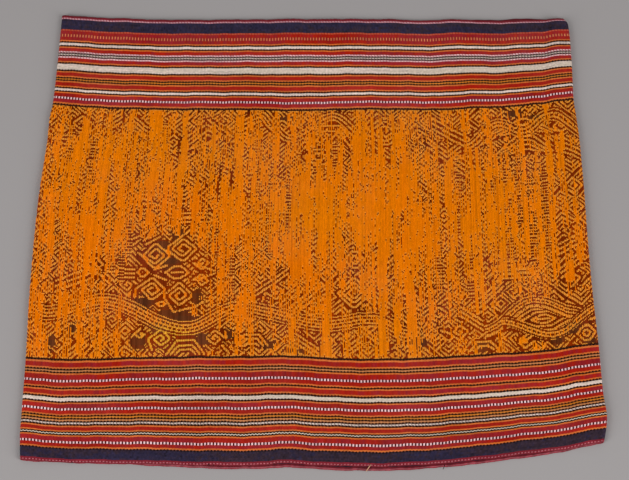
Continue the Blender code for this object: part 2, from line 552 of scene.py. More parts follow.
def smooth_noise(seed: int, rows: int, columns: int, run: tuple[float, float]) -> np.ndarray:
    """Seeded noise that changes slowly, and joins up round the tube.

    Args:
        seed: The seed of the random numbers.
        rows: How many rows to make.
        columns: How many places round the tube.
        run: How many rows and columns the noise takes to change.

    Returns:
        An array of rows by columns, with a mean of 0 and a spread of 1.
    """
    noise = np.fft.fft2(np.random.default_rng(seed).normal(size=(rows, columns)))
    pace = np.fft.fftfreq(rows)[:, None] * run[0], np.fft.fftfreq(columns)[None, :] * run[1]
    noise = np.fft.ifft2(noise * np.exp(-NOISE_FALL * (pace[0] ** 2 + pace[1] ** 2))).real
    return (noise - noise.mean()) / max(float(noise.std()), TINY)


@dataclass(frozen=True)
class Mottle:
    """Smooth noise of one size over a cloth.

    Its seed is counted from the cloth's own, `size` is its spread, and `run` says how many rows
    and columns it takes to change.
    """

    seed: int
    size: float
    run: tuple[float, float]

    def over(self, seed: int, rows: int, columns: int) -> np.ndarray:
        """Makes the noise.

        Args:
            seed: The cloth's seed.
            rows: How many rows to make.
            columns: How many places round the tube.

        Returns:
            An array of rows by columns, with a mean of 0.
        """
        return self.size * smooth_noise(seed + self.seed, rows, columns, self.run)


# Meshes.


def make_piece(
    name: str,
    points: np.ndarray,
    faces: np.ndarray,
    material: bpy.types.Material,
    places: np.ndarray | None = None,
    colours: np.ndarray | None = None,
) -> bpy.types.Object:
    """A mesh object from arrays of points and four-sided faces.

    Args:
        name: The piece's name.
        points: One row of x, y and z for each point.
        faces: One row of four point numbers for each face.
        material: The piece's material.
        places: The cloth's own coordinates in metres at each corner of each face.
        colours: The linear colour of each face.

    Returns:
        The object, linked to the scene.
    """
    mesh = bpy.data.meshes.new(name)
    mesh.vertices.add(len(points))
    mesh.vertices.foreach_set("co", np.ascontiguousarray(points, np.float32).ravel())
    mesh.loops.add(faces.size)
    mesh.loops.foreach_set("vertex_index", np.ascontiguousarray(faces, np.int32).ravel())
    mesh.polygons.add(len(faces))
    mesh.polygons.foreach_set("loop_start", np.arange(0, faces.size, 4, dtype=np.int32))
    mesh.update(calc_edges=True)
    if places is not None:
        layer = mesh.uv_layers.new(name="cloth")
        layer.data.foreach_set("uv", np.ascontiguousarray(places, np.float32).ravel())
    if colours is not None:
        dye = mesh.attributes.new("dye", "FLOAT_COLOR", "FACE")
        rgba = np.hstack([colours, np.ones((len(colours), 1))])
        dye.data.foreach_set("color", np.ascontiguousarray(rgba, np.float32).ravel())
    mesh.materials.append(material)
    mesh.shade_smooth()
    piece = bpy.data.objects.new(name, mesh)
    bpy.context.scene.collection.objects.link(piece)
    return piece


@dataclass
class Shell:
    """A closed ring of cloth: an outer face with ribs, an inner face, and rims at both edges.

    The rows of both faces are arrays of heights, one value for each column, from the lower edge
    to the upper one. Between two rows lies one row of colours. The lifts are measured from the
    outer face of the solid, and the rims are a little darker than the cloth.
    """

    drape: Drape
    outer_rows: np.ndarray
    outer_lift: np.ndarray
    outer_colours: np.ndarray
    inner_rows: np.ndarray
    inner_colours: np.ndarray
    inner_lift: float
    rim_tone: float = 0.8

    def build(self, name: str, material: bpy.types.Material) -> bpy.types.Object:
        """Makes the mesh.

        Args:
            name: The piece's name.
            material: The piece's material.

        Returns:
            The piece.
        """
        rows, columns = self.outer_rows.shape
        lower_rows = len(self.inner_rows)
        around = np.arange(columns) / columns
        outside = self.drape.point(around[None, :], self.outer_rows, self.outer_lift)
        inside = self.drape.point(around[None, :], self.inner_rows, np.array(self.inner_lift))
        points = np.concatenate([outside.reshape(-1, 3), inside.reshape(-1, 3)])
        heights = np.concatenate([self.outer_rows.ravel(), self.inner_rows.ravel()])
        first = np.arange(rows * columns).reshape(rows, columns)
        second = rows * columns + np.arange(lower_rows * columns).reshape(lower_rows, columns)
        turn = np.roll(first, -1, axis=1), np.roll(second, -1, axis=1)
        outer = np.stack([first[:-1], turn[0][:-1], turn[0][1:], first[1:]], axis=-1)
        inner = np.stack([second[:-1], second[1:], turn[1][1:], turn[1][:-1]], axis=-1)
        low = np.stack([first[0], second[0], turn[1][0], turn[0][0]], axis=-1)
        high = np.stack([first[-1], turn[0][-1], turn[1][-1], second[-1]], axis=-1)
        faces = np.concatenate([outer.reshape(-1, 4), inner.reshape(-1, 4), low, high])
        tints = [self.outer_colours.reshape(-1, 3), self.inner_colours.reshape(-1, 3)]
        tints += [self.outer_colours[0] * self.rim_tone, self.outer_colours[-1] * self.rim_tone]
        share = np.tile(around, rows + lower_rows)[faces]
        wraps = (share.max(axis=1) - share.min(axis=1)) > 0.5
        share[wraps] = np.where(share[wraps] < 0.5, share[wraps] + 1, share[wraps])
        places = np.stack([share * self.drape.girth(self.drape.waist / 2), heights[faces]], axis=-1)
        return make_piece(name, points, faces, material, places, np.concatenate(tints))


# Materials.


class NodeTree:
    """A short way to write a shader node tree."""

    def __init__(self, tree: bpy.types.NodeTree) -> None:
        """Keeps the tree that nodes are added to."""
        self.tree = tree

    def add(self, kind: str, **settings: object) -> bpy.types.Node:
        """Adds a node and sets its properties.

        Args:
            kind: The node's type, without the leading ShaderNode.
            **settings: The node's properties by name.

        Returns:
            The node.
        """
        node = self.tree.nodes.new("ShaderNode" + kind)
        for name, value in settings.items():
            setattr(node, name, value)
        return node

    def link(self, start: bpy.types.NodeSocket, end: bpy.types.NodeSocket) -> None:
        """Links an output to an input."""
        self.tree.links.new(start, end)

    def math(self, operation: str, first: object, second: object = None) -> bpy.types.NodeSocket:
        """Adds a math node.

        Args:
            operation: The node's operation.
            first: A socket or a number.
            second: A socket or a number, where the operation has two.

        Returns:
            The node's output.
        """
        node = self.add("Math", operation=operation)
        for socket, value in zip(node.inputs, (first, second)):
            if isinstance(value, bpy.types.NodeSocket):
                self.link(value, socket)
            elif value is not None:
                socket.default_value = value
        return node.outputs[0]

    def noise(self, vector: bpy.types.NodeSocket, scale: float, detail: float) -> bpy.types.NodeSocket:
        """Adds a noise texture over a vector.

        Args:
            vector: The coordinates.
            scale: Features per unit.
            detail: Octaves of finer noise.

        Returns:
            The noise, from 0 to 1.
        """
        node = self.add("TexNoise")
        self.link(vector, node.inputs["Vector"])
        node.inputs["Scale"].default_value = scale
        node.inputs["Detail"].default_value = detail
        return node.outputs[0]


def new_group(name: str, inputs: dict[str, str], outputs: dict[str, str]) -> bpy.types.NodeTree:
    """An empty shader node group with named sockets.

    Args:
        name: The group's name.
        inputs: The socket type of each input by name.
        outputs: The socket type of each output by name.

    Returns:
        The group.
    """
    group = bpy.data.node_groups.new(name, "ShaderNodeTree")
    for socket, kind in inputs.items():
        group.interface.new_socket(socket, in_out="INPUT", socket_type="NodeSocket" + kind)
    for socket, kind in outputs.items():
        group.interface.new_socket(socket, in_out="OUTPUT", socket_type="NodeSocket" + kind)
    return group


# Features per metre: how the yarns wander, their single fibres, and the slow fading of the dye.
YARN_WANDER = 180.0
FIBRES = 5200.0
FADED_PATCHES = 14.0

# How rough the yarn is, and how much that changes along its streaks.
YARN_ROUGHNESS = 0.84
ROUGHNESS_CHANGE = 0.22


def yarn_relief_group() -> bpy.types.NodeTree:
    """The relief of spun yarns lying side by side, for a Bump node.

    Returns:
        A group with the inputs Cloth, Yarns across and Yarns along per metre, and Fuzz, and the
        output Height.
    """
    group = new_group(
        "yarn_relief",
        {"Cloth": "Vector", "Yarns across": "Float", "Yarns along": "Float", "Fuzz": "Float"},
        {"Height": "Float"},
    )
    tree = NodeTree(group)
    given = group.nodes.new("NodeGroupInput")
    result = group.nodes.new("NodeGroupOutput")
    parts = tree.add("SeparateXYZ")
    tree.link(given.outputs["Cloth"], parts.inputs[0])
    wander = tree.noise(given.outputs["Cloth"], YARN_WANDER, 2.0)
    heights = []
    for axis, count in ((0, "Yarns across"), (1, "Yarns along")):
        turns = tree.math("MULTIPLY", parts.outputs[axis], given.outputs[count])
        turns = tree.math("ADD", turns, wander)
        wave = tree.math("SINE", tree.math("MULTIPLY", turns, 2 * pi))
        heights.append(tree.math("MULTIPLY", wave, 0.5))
    fibres = tree.noise(given.outputs["Cloth"], FIBRES, 3.0)
    fuzz = tree.math("MULTIPLY", fibres, given.outputs["Fuzz"])
    total = tree.math("ADD", tree.math("ADD", heights[0], heights[1]), fuzz)
    tree.link(total, result.inputs["Height"])
    return group


def dyed_yarn_group() -> bpy.types.NodeTree:
    """Uneven dye and wear: streaks along the yarns, small slubs, and slow faded patches.

    Returns:
        A group with the inputs Colour, Cloth, Streak across, Streak along, Unevenness and Fading,
        and the outputs Colour and Roughness.
    """
    group = new_group(
        "dyed_yarn",
        {
            "Colour": "Color", "Cloth": "Vector", "Streak across": "Float",
            "Streak along": "Float", "Unevenness": "Float", "Fading": "Float",
        },
        {"Colour": "Color", "Roughness": "Float"},
    )
    tree = NodeTree(group)
    given = group.nodes.new("NodeGroupInput")
    result = group.nodes.new("NodeGroupOutput")
    lengths = tree.add("CombineXYZ")
    tree.link(given.outputs["Streak across"], lengths.inputs[0])
    tree.link(given.outputs["Streak along"], lengths.inputs[1])
    scaled = tree.add("VectorMath", operation="MULTIPLY")
    tree.link(given.outputs["Cloth"], scaled.inputs[0])
    tree.link(lengths.outputs[0], scaled.inputs[1])
    streak = tree.math("SUBTRACT", tree.noise(scaled.outputs[0], 1.0, 3.0), 0.5)
    patch = tree.math("SUBTRACT", tree.noise(given.outputs["Cloth"], FADED_PATCHES, 3.0), 0.5)
    light = tree.math("MULTIPLY", streak, given.outputs["Unevenness"])
    light = tree.math("ADD", light, tree.math("MULTIPLY", patch, given.outputs["Fading"]))
    value = tree.math("ADD", light, 1.0)
    hue = tree.add("HueSaturation")
    tree.link(given.outputs["Colour"], hue.inputs["Color"])
    tree.link(value, hue.inputs["Value"])
    pale = tree.math("SUBTRACT", 1.0, tree.math("MULTIPLY", patch, given.outputs["Fading"]))
    tree.link(pale, hue.inputs["Saturation"])
    tree.link(hue.outputs[0], result.inputs["Colour"])
    rough = tree.math("ADD", tree.math("MULTIPLY", streak, ROUGHNESS_CHANGE), YARN_ROUGHNESS)
    tree.link(rough, result.inputs["Roughness"])
    return group


@dataclass(frozen=True)
class Cotton:
    """A cotton finish over the dyes that a piece carries on its faces.

    Its numbers are the yarns per metre across and up the skirt, the relief's depth in metres, the
    streaks of dye per metre across and up, how uneven the dye is and how much it has faded, how
    fuzzy the yarn is, and its sheen and gloss.
    """

    name: str
    yarns_across: float
    yarns_along: float
    depth: float
    streak_across: float
    streak_along: float
    unevenness: float = 0.35
    fading: float = 0.2
    fuzz: float = 0.5
    sheen: float = 0.0
    specular: float = 0.02
    bump: float = 0.8
    sheen_roughness: float = 0.45

    def material(self, groups: dict[str, bpy.types.NodeTree]) -> bpy.types.Material:
        """Makes the material.

        Args:
            groups: The shared node groups by name.

        Returns:
            The material.
        """
        material = bpy.data.materials.new(self.name)
        material.use_nodes = True
        tree = NodeTree(material.node_tree)
        shader = material.node_tree.nodes["Principled BSDF"]
        cloth = tree.add("UVMap", uv_map="cloth")
        dye = tree.add("Attribute", attribute_name="dye")
        yarn = tree.add("Group", node_tree=groups["dyed_yarn"])
        tree.link(dye.outputs["Color"], yarn.inputs["Colour"])
        tree.link(cloth.outputs[0], yarn.inputs["Cloth"])
        yarn.inputs["Streak across"].default_value = self.streak_across
        yarn.inputs["Streak along"].default_value = self.streak_along
        yarn.inputs["Unevenness"].default_value = self.unevenness
        yarn.inputs["Fading"].default_value = self.fading
        relief = tree.add("Group", node_tree=groups["yarn_relief"])
        tree.link(cloth.outputs[0], relief.inputs["Cloth"])
        relief.inputs["Yarns across"].default_value = self.yarns_across
        relief.inputs["Yarns along"].default_value = self.yarns_along
        relief.inputs["Fuzz"].default_value = self.fuzz
        bump = tree.add("Bump")
        bump.inputs["Strength"].default_value = self.bump
        bump.inputs["Distance"].default_value = self.depth
        tree.link(relief.outputs["Height"], bump.inputs["Height"])
        tree.link(bump.outputs[0], shader.inputs["Normal"])
        tree.link(yarn.outputs["Colour"], shader.inputs["Base Color"])
        tree.link(yarn.outputs["Roughness"], shader.inputs["Roughness"])
        shader.inputs["Sheen Weight"].default_value = self.sheen
        shader.inputs["Sheen Roughness"].default_value = self.sheen_roughness
        shader.inputs["Specular IOR Level"].default_value = self.specular
        return material


STRIP_COTTON = Cotton(
    "strip_cotton",
    yarns_across=0.0,
    yarns_along=2300.0,
    depth=0.12 * MM,
    streak_across=60.0,
    streak_along=1400.0,
    fading=0.10,
    sheen=0.03,
    specular=0.10,
)
GROUND_COTTON = Cotton(
    "ground_cotton",
    yarns_across=1200.0,
    yarns_along=1300.0,
    depth=0.12 * MM,
    streak_across=900.0,
    streak_along=60.0,
)
FLOAT_COTTON = Cotton(
    "float_cotton",
    yarns_across=1900.0,
    yarns_along=0.0,
    depth=0.10 * MM,
    streak_across=1200.0,
    streak_along=70.0,
    unevenness=0.18,
    fading=0.04,
)


# The striped strips.


class WovenRow(NamedTuple):
    """One row of a strip's weave: its width and how far its edges step are in metres."""

    width: float
    letters: str
    weave: Weave
    step: float


@dataclass
class StripedStrip:
    """A warp-faced striped strip, sewn to the field along one edge.

    The stripes run round the skirt. Each pick makes a fine rib across them, and a stripe's two
    colours change places from pick to pick. The second of `pick_shades` is the coarse indigo
    stripe's. The inner face carries painted shade: it is darker, like the shadow under the front
    layer's edge, but for its first millimetres from the free edge, which are lighter. It has fewer
    rows.
    """

    name: str
    node: str
    low: float
    high: float
    stripes: tuple[Stripe, ...]
    seed: int
    free_edge_on_top: bool
    inset: float = 0.35 * MM
    thickness: float = 1.0 * MM
    rib: float = 0.13 * MM
    tooth: float = 0.27 * MM
    fray: float = 0.35 * MM
    # Inner face tones: painted shade beyond the free edge, lighter at it, and the unshaded reach.
    inner_painted_shade: float = 0.5
    inner_light: float = 1.25
    inner_unshaded_reach: float = 2.2 * MM
    inner_edge_rows: int = 6
    inner_row_step: int = 10
    row_shade: Mottle = Mottle(0, 0.06, (0.2, 28.0))
    pick_shade: Mottle = Mottle(1, 1.0, (0.2, 0.8))
    pick_shades: tuple[float, float] = (0.07, 0.16)
    slow_shade: Mottle = Mottle(2, 0.03, (12.0, 120.0))
    turning: Mottle = Mottle(3, 1.0, (3.0, 60.0))
    rib_size: Mottle = Mottle(4, 1.0, (0.5, 2.0))
    rib_change: float = 0.15
    stray: Mottle = Mottle(5, 0.10, (0.2, 2.0))
    least_stray: float = 0.3
    grain: Mottle = Mottle(6, 0.34, (0.3, 1.6))
    frayed: Mottle = Mottle(7, 1.0, (0.5, 1.0))
    inner_shade: Mottle = Mottle(8, 0.14, (0.5, 2.0))

    def rows(self) -> list[WovenRow]:
        """Works out the rows of the weave.

        Returns:
            The woven rows from the upper edge down.
        """
        scale = (self.high - self.low) / (sum(stripe.width for stripe in self.stripes) * MM)
        rows = []
        for stripe in self.stripes:
            letters, count, step = stripe.weave.figure.value
            width = stripe.width / count * scale * MM
            rows += [WovenRow(width, letters, stripe.weave, step * MM)] * count
        return rows

    def colours(self, rows: list[WovenRow]) -> np.ndarray:
        """The linear colour of each row at each half pick.

        Args:
            rows: The woven rows.

        Returns:
            An array of rows by half picks by red, green and blue.
        """
        size = self.seed, len(rows), 2 * PICKS
        coarse = [row.weave is INDIGO for row in rows]
        shade = np.where(coarse, self.pick_shades[1], self.pick_shades[0])[:, None]
        light = 1 + self.row_shade.over(*size) + shade * self.pick_shade.over(*size)
        light += self.slow_shade.over(*size)
        turned = 0.5 + 0.5 * np.clip(self.turning.over(*size), -1, 1) + self.grain.over(*size)
        turned = np.clip(turned, 0, 1)
        stray = np.abs(self.stray.over(*size))
        half_pick = np.arange(2 * PICKS) % 4
        colours = np.empty((*light.shape, 3))
        for number, (_, letters, weave, _) in enumerate(rows):
            own = np.array([letter == "a" for letter in letters])[half_pick, None]
            mixed = self.least_stray if weave.figure in (Figure.DOTS, Figure.TICKS) else 1.0
            share = np.abs(own - mixed * stray[number][:, None])
            if "b" not in letters:
                share = np.ones_like(share)
            row = weave.dye.linear * share + weave.second.linear * (1 - share)
            if weave.turn is not None:
                mix = turned[number][:, None]
                row = row * (1 - mix) + weave.turn.linear * mix
            colours[number] = row * light[number][:, None]
        return np.clip(colours, 0, 1)

    def heights(self, rows: list[WovenRow], edges: np.ndarray) -> np.ndarray:
        """Where the edge of each row runs, pick by pick, from the lower edge up.

        Args:
            rows: The woven rows.
            edges: The rows' straight edges, from the upper one down.

        Returns:
            An array of edges by half picks.
        """
        columns = 2 * PICKS
        steps = np.array([row.step for row in rows])
        stepped = np.concatenate([[0.0], np.minimum(steps[:-1], steps[1:]), [0.0]])
        zigzag = np.array([row.weave.figure is Figure.ZIGZAG for row in rows])
        stepped[:-1] = np.where(zigzag, steps, stepped[:-1])
        stepped[1:] = np.where(zigzag, steps, stepped[1:])
        toothed = np.array([row.weave.figure is Figure.TEETH for row in rows], float)
        jag = np.concatenate([[0.0], toothed[1:] - toothed[:-1], [0.0]]) * self.tooth
        half_pick = np.arange(columns)
        way = np.where(half_pick // 2 % 2 == 0, 1.0, -1.0) * (half_pick % 2)
        heights = edges[::-1, None] + (stepped + jag)[::-1, None] * way[None, :]
        frayed = self.fray * np.abs(self.frayed.over(self.seed, 2, columns)[0])
        if self.free_edge_on_top:
            heights[-1] -= frayed
        else:
            heights[0] += frayed
        return np.clip(heights, self.low, self.high)

    def inner_colours(self, colours: np.ndarray, edges: np.ndarray) -> np.ndarray:
        """Inner face colours: the outer face's, lighter at the free edge, with painted shade beyond.

        Args:
            colours: The outer face's colour at each inner row.
            edges: The inner rows' edges.

        Returns:
            An array of rows by half picks by red, green and blue.
        """
        uneven = 1 + self.inner_shade.over(self.seed, 2, 2 * PICKS)[0]
        inward = np.abs(edges[:-1] + edges[1:])[:, None] / 2
        inward = self.high - inward if self.free_edge_on_top else inward - self.low
        # Painted shade: the inner face darkens away from the free edge, as under the front layer.
        pale = np.exp(-((inward / self.inner_unshaded_reach) ** 2))
        painted_shade = self.inner_painted_shade + (self.inner_light - self.inner_painted_shade) * pale
        means = colours.mean(axis=1, keepdims=True)
        return np.clip(means * uneven[None, :, None] * painted_shade[..., None], 0, 1)

    def build(self, drape: Drape, material: bpy.types.Material) -> bpy.types.Object:
        """Makes the strip and puts it in place of its solid.

        Args:
            drape: The lie of the cloth.
            material: The strip's cotton.

        Returns:
            The strip.
        """
        rows = self.rows()
        colours = self.colours(rows)[::-1]
        edges = self.high - np.concatenate([[0.0], np.cumsum([row.width for row in rows])])
        heights = self.heights(rows, edges)
        change = np.clip(self.rib_size.over(self.seed, *heights.shape), -1, 1)
        middle = np.arange(2 * PICKS) % 2
        lift = -self.inset - self.rib + self.rib * middle * (1 + self.rib_change * change)
        keep = self.inner_keep(len(edges))
        inner = edges[::-1][keep]
        shell = Shell(
            drape,
            heights,
            lift,
            colours,
            np.repeat(inner[:, None], 2 * PICKS, axis=1),
            self.inner_colours(colours[keep[:-1]], inner),
            -self.inset - self.thickness,
        )
        piece = shell.build(self.name, material)
        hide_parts(self.node)
        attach(piece, ROOT)
        return piece

    def inner_keep(self, count: int) -> np.ndarray:
        """Which row edges the inner face keeps: each at the free edge, and few elsewhere.

        Args:
            count: How many row edges the outer face has.

        Returns:
            The numbers of the edges, from the lower one up.
        """
        fine = set(range(self.inner_edge_rows))
        coarse = set(range(0, count, self.inner_row_step)) | {count - 1}
        kept = sorted(fine | coarse)
        if self.free_edge_on_top:
            kept = sorted(count - 1 - number for number in kept)
        return np.array(kept)


# The chart of the field.


Path = list[tuple[float, float]]


def distance_to(path: Path, x: np.ndarray, height: np.ndarray) -> np.ndarray:
    """The distance of each cell from a line of straight runs.

    Args:
        path: The line's corners.
        x: Each cell's place across.
        height: Each cell's height.

    Returns:
        The distance of each cell from the line.
    """
    nearest = np.full(x.shape, FAR)
    for (start_x, start_h), (end_x, end_h) in zip(path, path[1:]):
        run_x, run_h = end_x - start_x, end_h - start_h
        length = max(run_x**2 + run_h**2, TINY)
        share = np.clip(((x - start_x) * run_x + (height - start_h) * run_h) / length, 0, 1)
        gap = np.hypot(x - start_x - share * run_x, height - start_h - share * run_h)
        nearest = np.minimum(nearest, gap)
    return nearest


@dataclass(frozen=True)
class Motif:
    """A motif of orange lines on a dark halo, about a middle given in millimetres."""

    x: float
    height: float

    def paths(self) -> list[Path]:
        """The lines of the motif."""
        return []


@dataclass(frozen=True)
class Spiral(Motif):
    """A key spiral standing on its corner.

    `reach` is the outer half diagonal, `sides` the number of straight runs, `first` the corner it
    starts from (0 right, 1 top, 2 left, 3 bottom), and `way` is 1 anticlockwise or -1 clockwise.
    `tail` is where a tail starts, from the middle, `squat` how much lower than wide it is, and
    `cut` how much of each run its blunt corners take.
    """

    reach: float
    sides: int
    first: int
    way: int
    tail: tuple[float, float] | None = None
    pitch: float = 6.3
    squat: float = 0.9
    cut: float = 0.11

    def paths(self) -> list[Path]:
        """The lines of the motif.

        Returns:
            One line, from the spiral's tail to its middle.
        """
        path = [] if self.tail is None else [(self.x + self.tail[0], self.height + self.tail[1])]
        for side in range(self.sides + 1):
            out = self.reach - self.pitch * side / 4
            turn = (self.first + self.way * side) * pi / 2
            path.append((self.x + out * cos(turn), self.height + out * sin(turn) * self.squat))
        rounded = [path[0]]
        for start, end in zip(path, path[1:]):
            for share in (self.cut, 1 - self.cut):
                rounded.append(tuple(a + (b - a) * share for a, b in zip(start, end)))
        return [[*rounded, path[-1]]]


@dataclass(frozen=True)
class Eye(Motif):
    """Nested diamonds with blunt sides."""

    half_width: float
    half_height: float
    rings: int
    blunt: float = 0.3
    pitch: float = 5.2

    def paths(self) -> list[Path]:
        """The lines of the motif.

        Returns:
            One closed line for each ring.
        """
        rings = []
        for ring in range(self.rings):
            wide = self.half_width - ring * self.pitch
            high = wide * self.half_height / self.half_width
            flat = wide * self.blunt
            upper = [(wide, 0), (flat, high), (-flat, high)]
            corners = [*upper, *((-a, -b) for a, b in upper), upper[0]]
            rings.append([(self.x + a, self.height + b) for a, b in corners])
        return rings


@dataclass(frozen=True)
class Arch(Motif):
    """Nested arches, which open downwards, or upwards where the rise is negative."""

    half_width: float
    rise: float
    rings: int
    pitch: float = 5.0
    flat: float = 0.45
    narrower: float = 0.9
    flat_narrower: float = 0.35

    def paths(self) -> list[Path]:
        """The lines of the motif.

        Returns:
            One line for each arch.
        """
        arches = []
        for ring in range(self.rings):
            wide = self.half_width - ring * self.pitch * self.narrower
            high = self.rise - ring * self.pitch * (1 if self.rise > 0 else -1)
            flat = self.half_width * self.flat - ring * self.pitch * self.flat_narrower
            corners = [(-wide, 0.0), (-flat, high), (flat, high), (wide, 0.0)]
            arches.append([(self.x + a, self.height + b) for a, b in corners])
        return arches


@dataclass(frozen=True)
class Slants(Motif):
    """Parallel slanting lines, each offset along the skirt from the last."""

    run: float
    rise: float
    count: int
    pitch: float = 5.0
    knee: float = 0.0
    knee_rise: float = 0.8

    def paths(self) -> list[Path]:
        """The lines of the motif.

        Returns:
            One line for each slant, with a knee back where it has one.
        """
        lines = []
        for number in range(self.count):
            base = self.height - number * self.pitch
            end, top = self.x + self.run, base + self.rise
            line = [(self.x, base), (end, top)]
            if self.knee:
                line.append((end - self.knee, top + abs(self.knee) * self.knee_rise))
            lines.append(line)
        return lines


@dataclass(frozen=True)
class Ladder(Motif):
    """A narrow stack of dark squares between orange rungs."""

    length: float
    width: float
    pitch: float = 3.6
    reach: float = 1.9
    half_rung: float = 0.62

    def paths(self) -> list[Path]:
        """The lines of the motif.

        Returns:
            One short line for each rung, from the foot up.
        """
        half = self.width / 2
        count = int(self.length / self.pitch) + 1
        feet = [self.height + number * self.pitch for number in range(count)]
        return [[(self.x - half, foot), (self.x + half, foot)] for foot in feet]


@dataclass(frozen=True)
class OpenGround:
    """A rounded spot where the dark ground lies bare, in millimetres."""

    x: float
    height: float
    half_width: float
    half_height: float

    def away(
        self, x: np.ndarray, height: np.ndarray, margin: tuple[float, float] = (0, 0)
    ) -> np.ndarray:
        """How far each cell lies from the spot's middle.

        Args:
            x: Each cell's place across.
            height: Each cell's height.
            margin: How much wider and higher the spot is taken to be.

        Returns:
            The distance squared, which is 1 at the spot's edge.
        """
        across = (x - self.x) / (self.half_width + margin[0])
        up = (height - self.height) / (self.half_height + margin[1])
        return across**2 + up**2


@dataclass(frozen=True)
class Bend:
    """A crest or trough of a serpent: its place, in millimetres."""

    x: float
    height: float


@dataclass(frozen=True)
class Serpent:
    """A waving orange band with dark lines along it, and a dark halo.

    `rows` holds the lines' distances from the band's middle, and `broken` the numbers of those
    that are dashed, with one pick in each `dash` left out.
    """

    bends: tuple[Bend, ...]
    rows: tuple[float, ...] = (-5.6, -1.9, 1.9, 5.6)
    broken: tuple[int, ...] = (1, 2)
    half_band: float = 7.8
    half_row: float = 0.95
    halo: float = 2.0
    dash: int = 4

    def offset(self, x: np.ndarray, height: np.ndarray) -> np.ndarray:
        """How far each cell lies from the band's middle, square to the band.

        Args:
            x: Each cell's place across.
            height: Each cell's height.

        Returns:
            The distance, positive above the middle; large past the band's ends.
        """
        middle = np.full(x.shape, np.nan)
        slope = np.zeros(x.shape)
        for start, end in zip(self.bends, self.bends[1:]):
            on = (x >= start.x) & (x < end.x)
            share = (x - start.x) / (end.x - start.x)
            eased = (1 - np.cos(pi * share)) / 2
            pace = pi / 2 * np.sin(pi * share) * (end.height - start.height) / (end.x - start.x)
            middle = np.where(on, start.height + (end.height - start.height) * eased, middle)
            slope = np.where(on, pace, slope)
        off = (height - middle) / np.hypot(1, slope)
        return np.where(np.isnan(middle), FAR, off)


@dataclass(frozen=True)
class Patch:
    """A soft-edged patch of the field, and how much of its dark pattern shows there.

    Each patch in the table is laid over the ones before it.
    """

    x: float
    height: float
    half_width: float
    half_height: float
    shows: float


@dataclass(frozen=True)
class PlainStreak:
    """A streak of picks that the orange yarns cover, over a stretch of the field."""

    x: float
    half_width: float
    low: float
    high: float
    share: float = 0.9


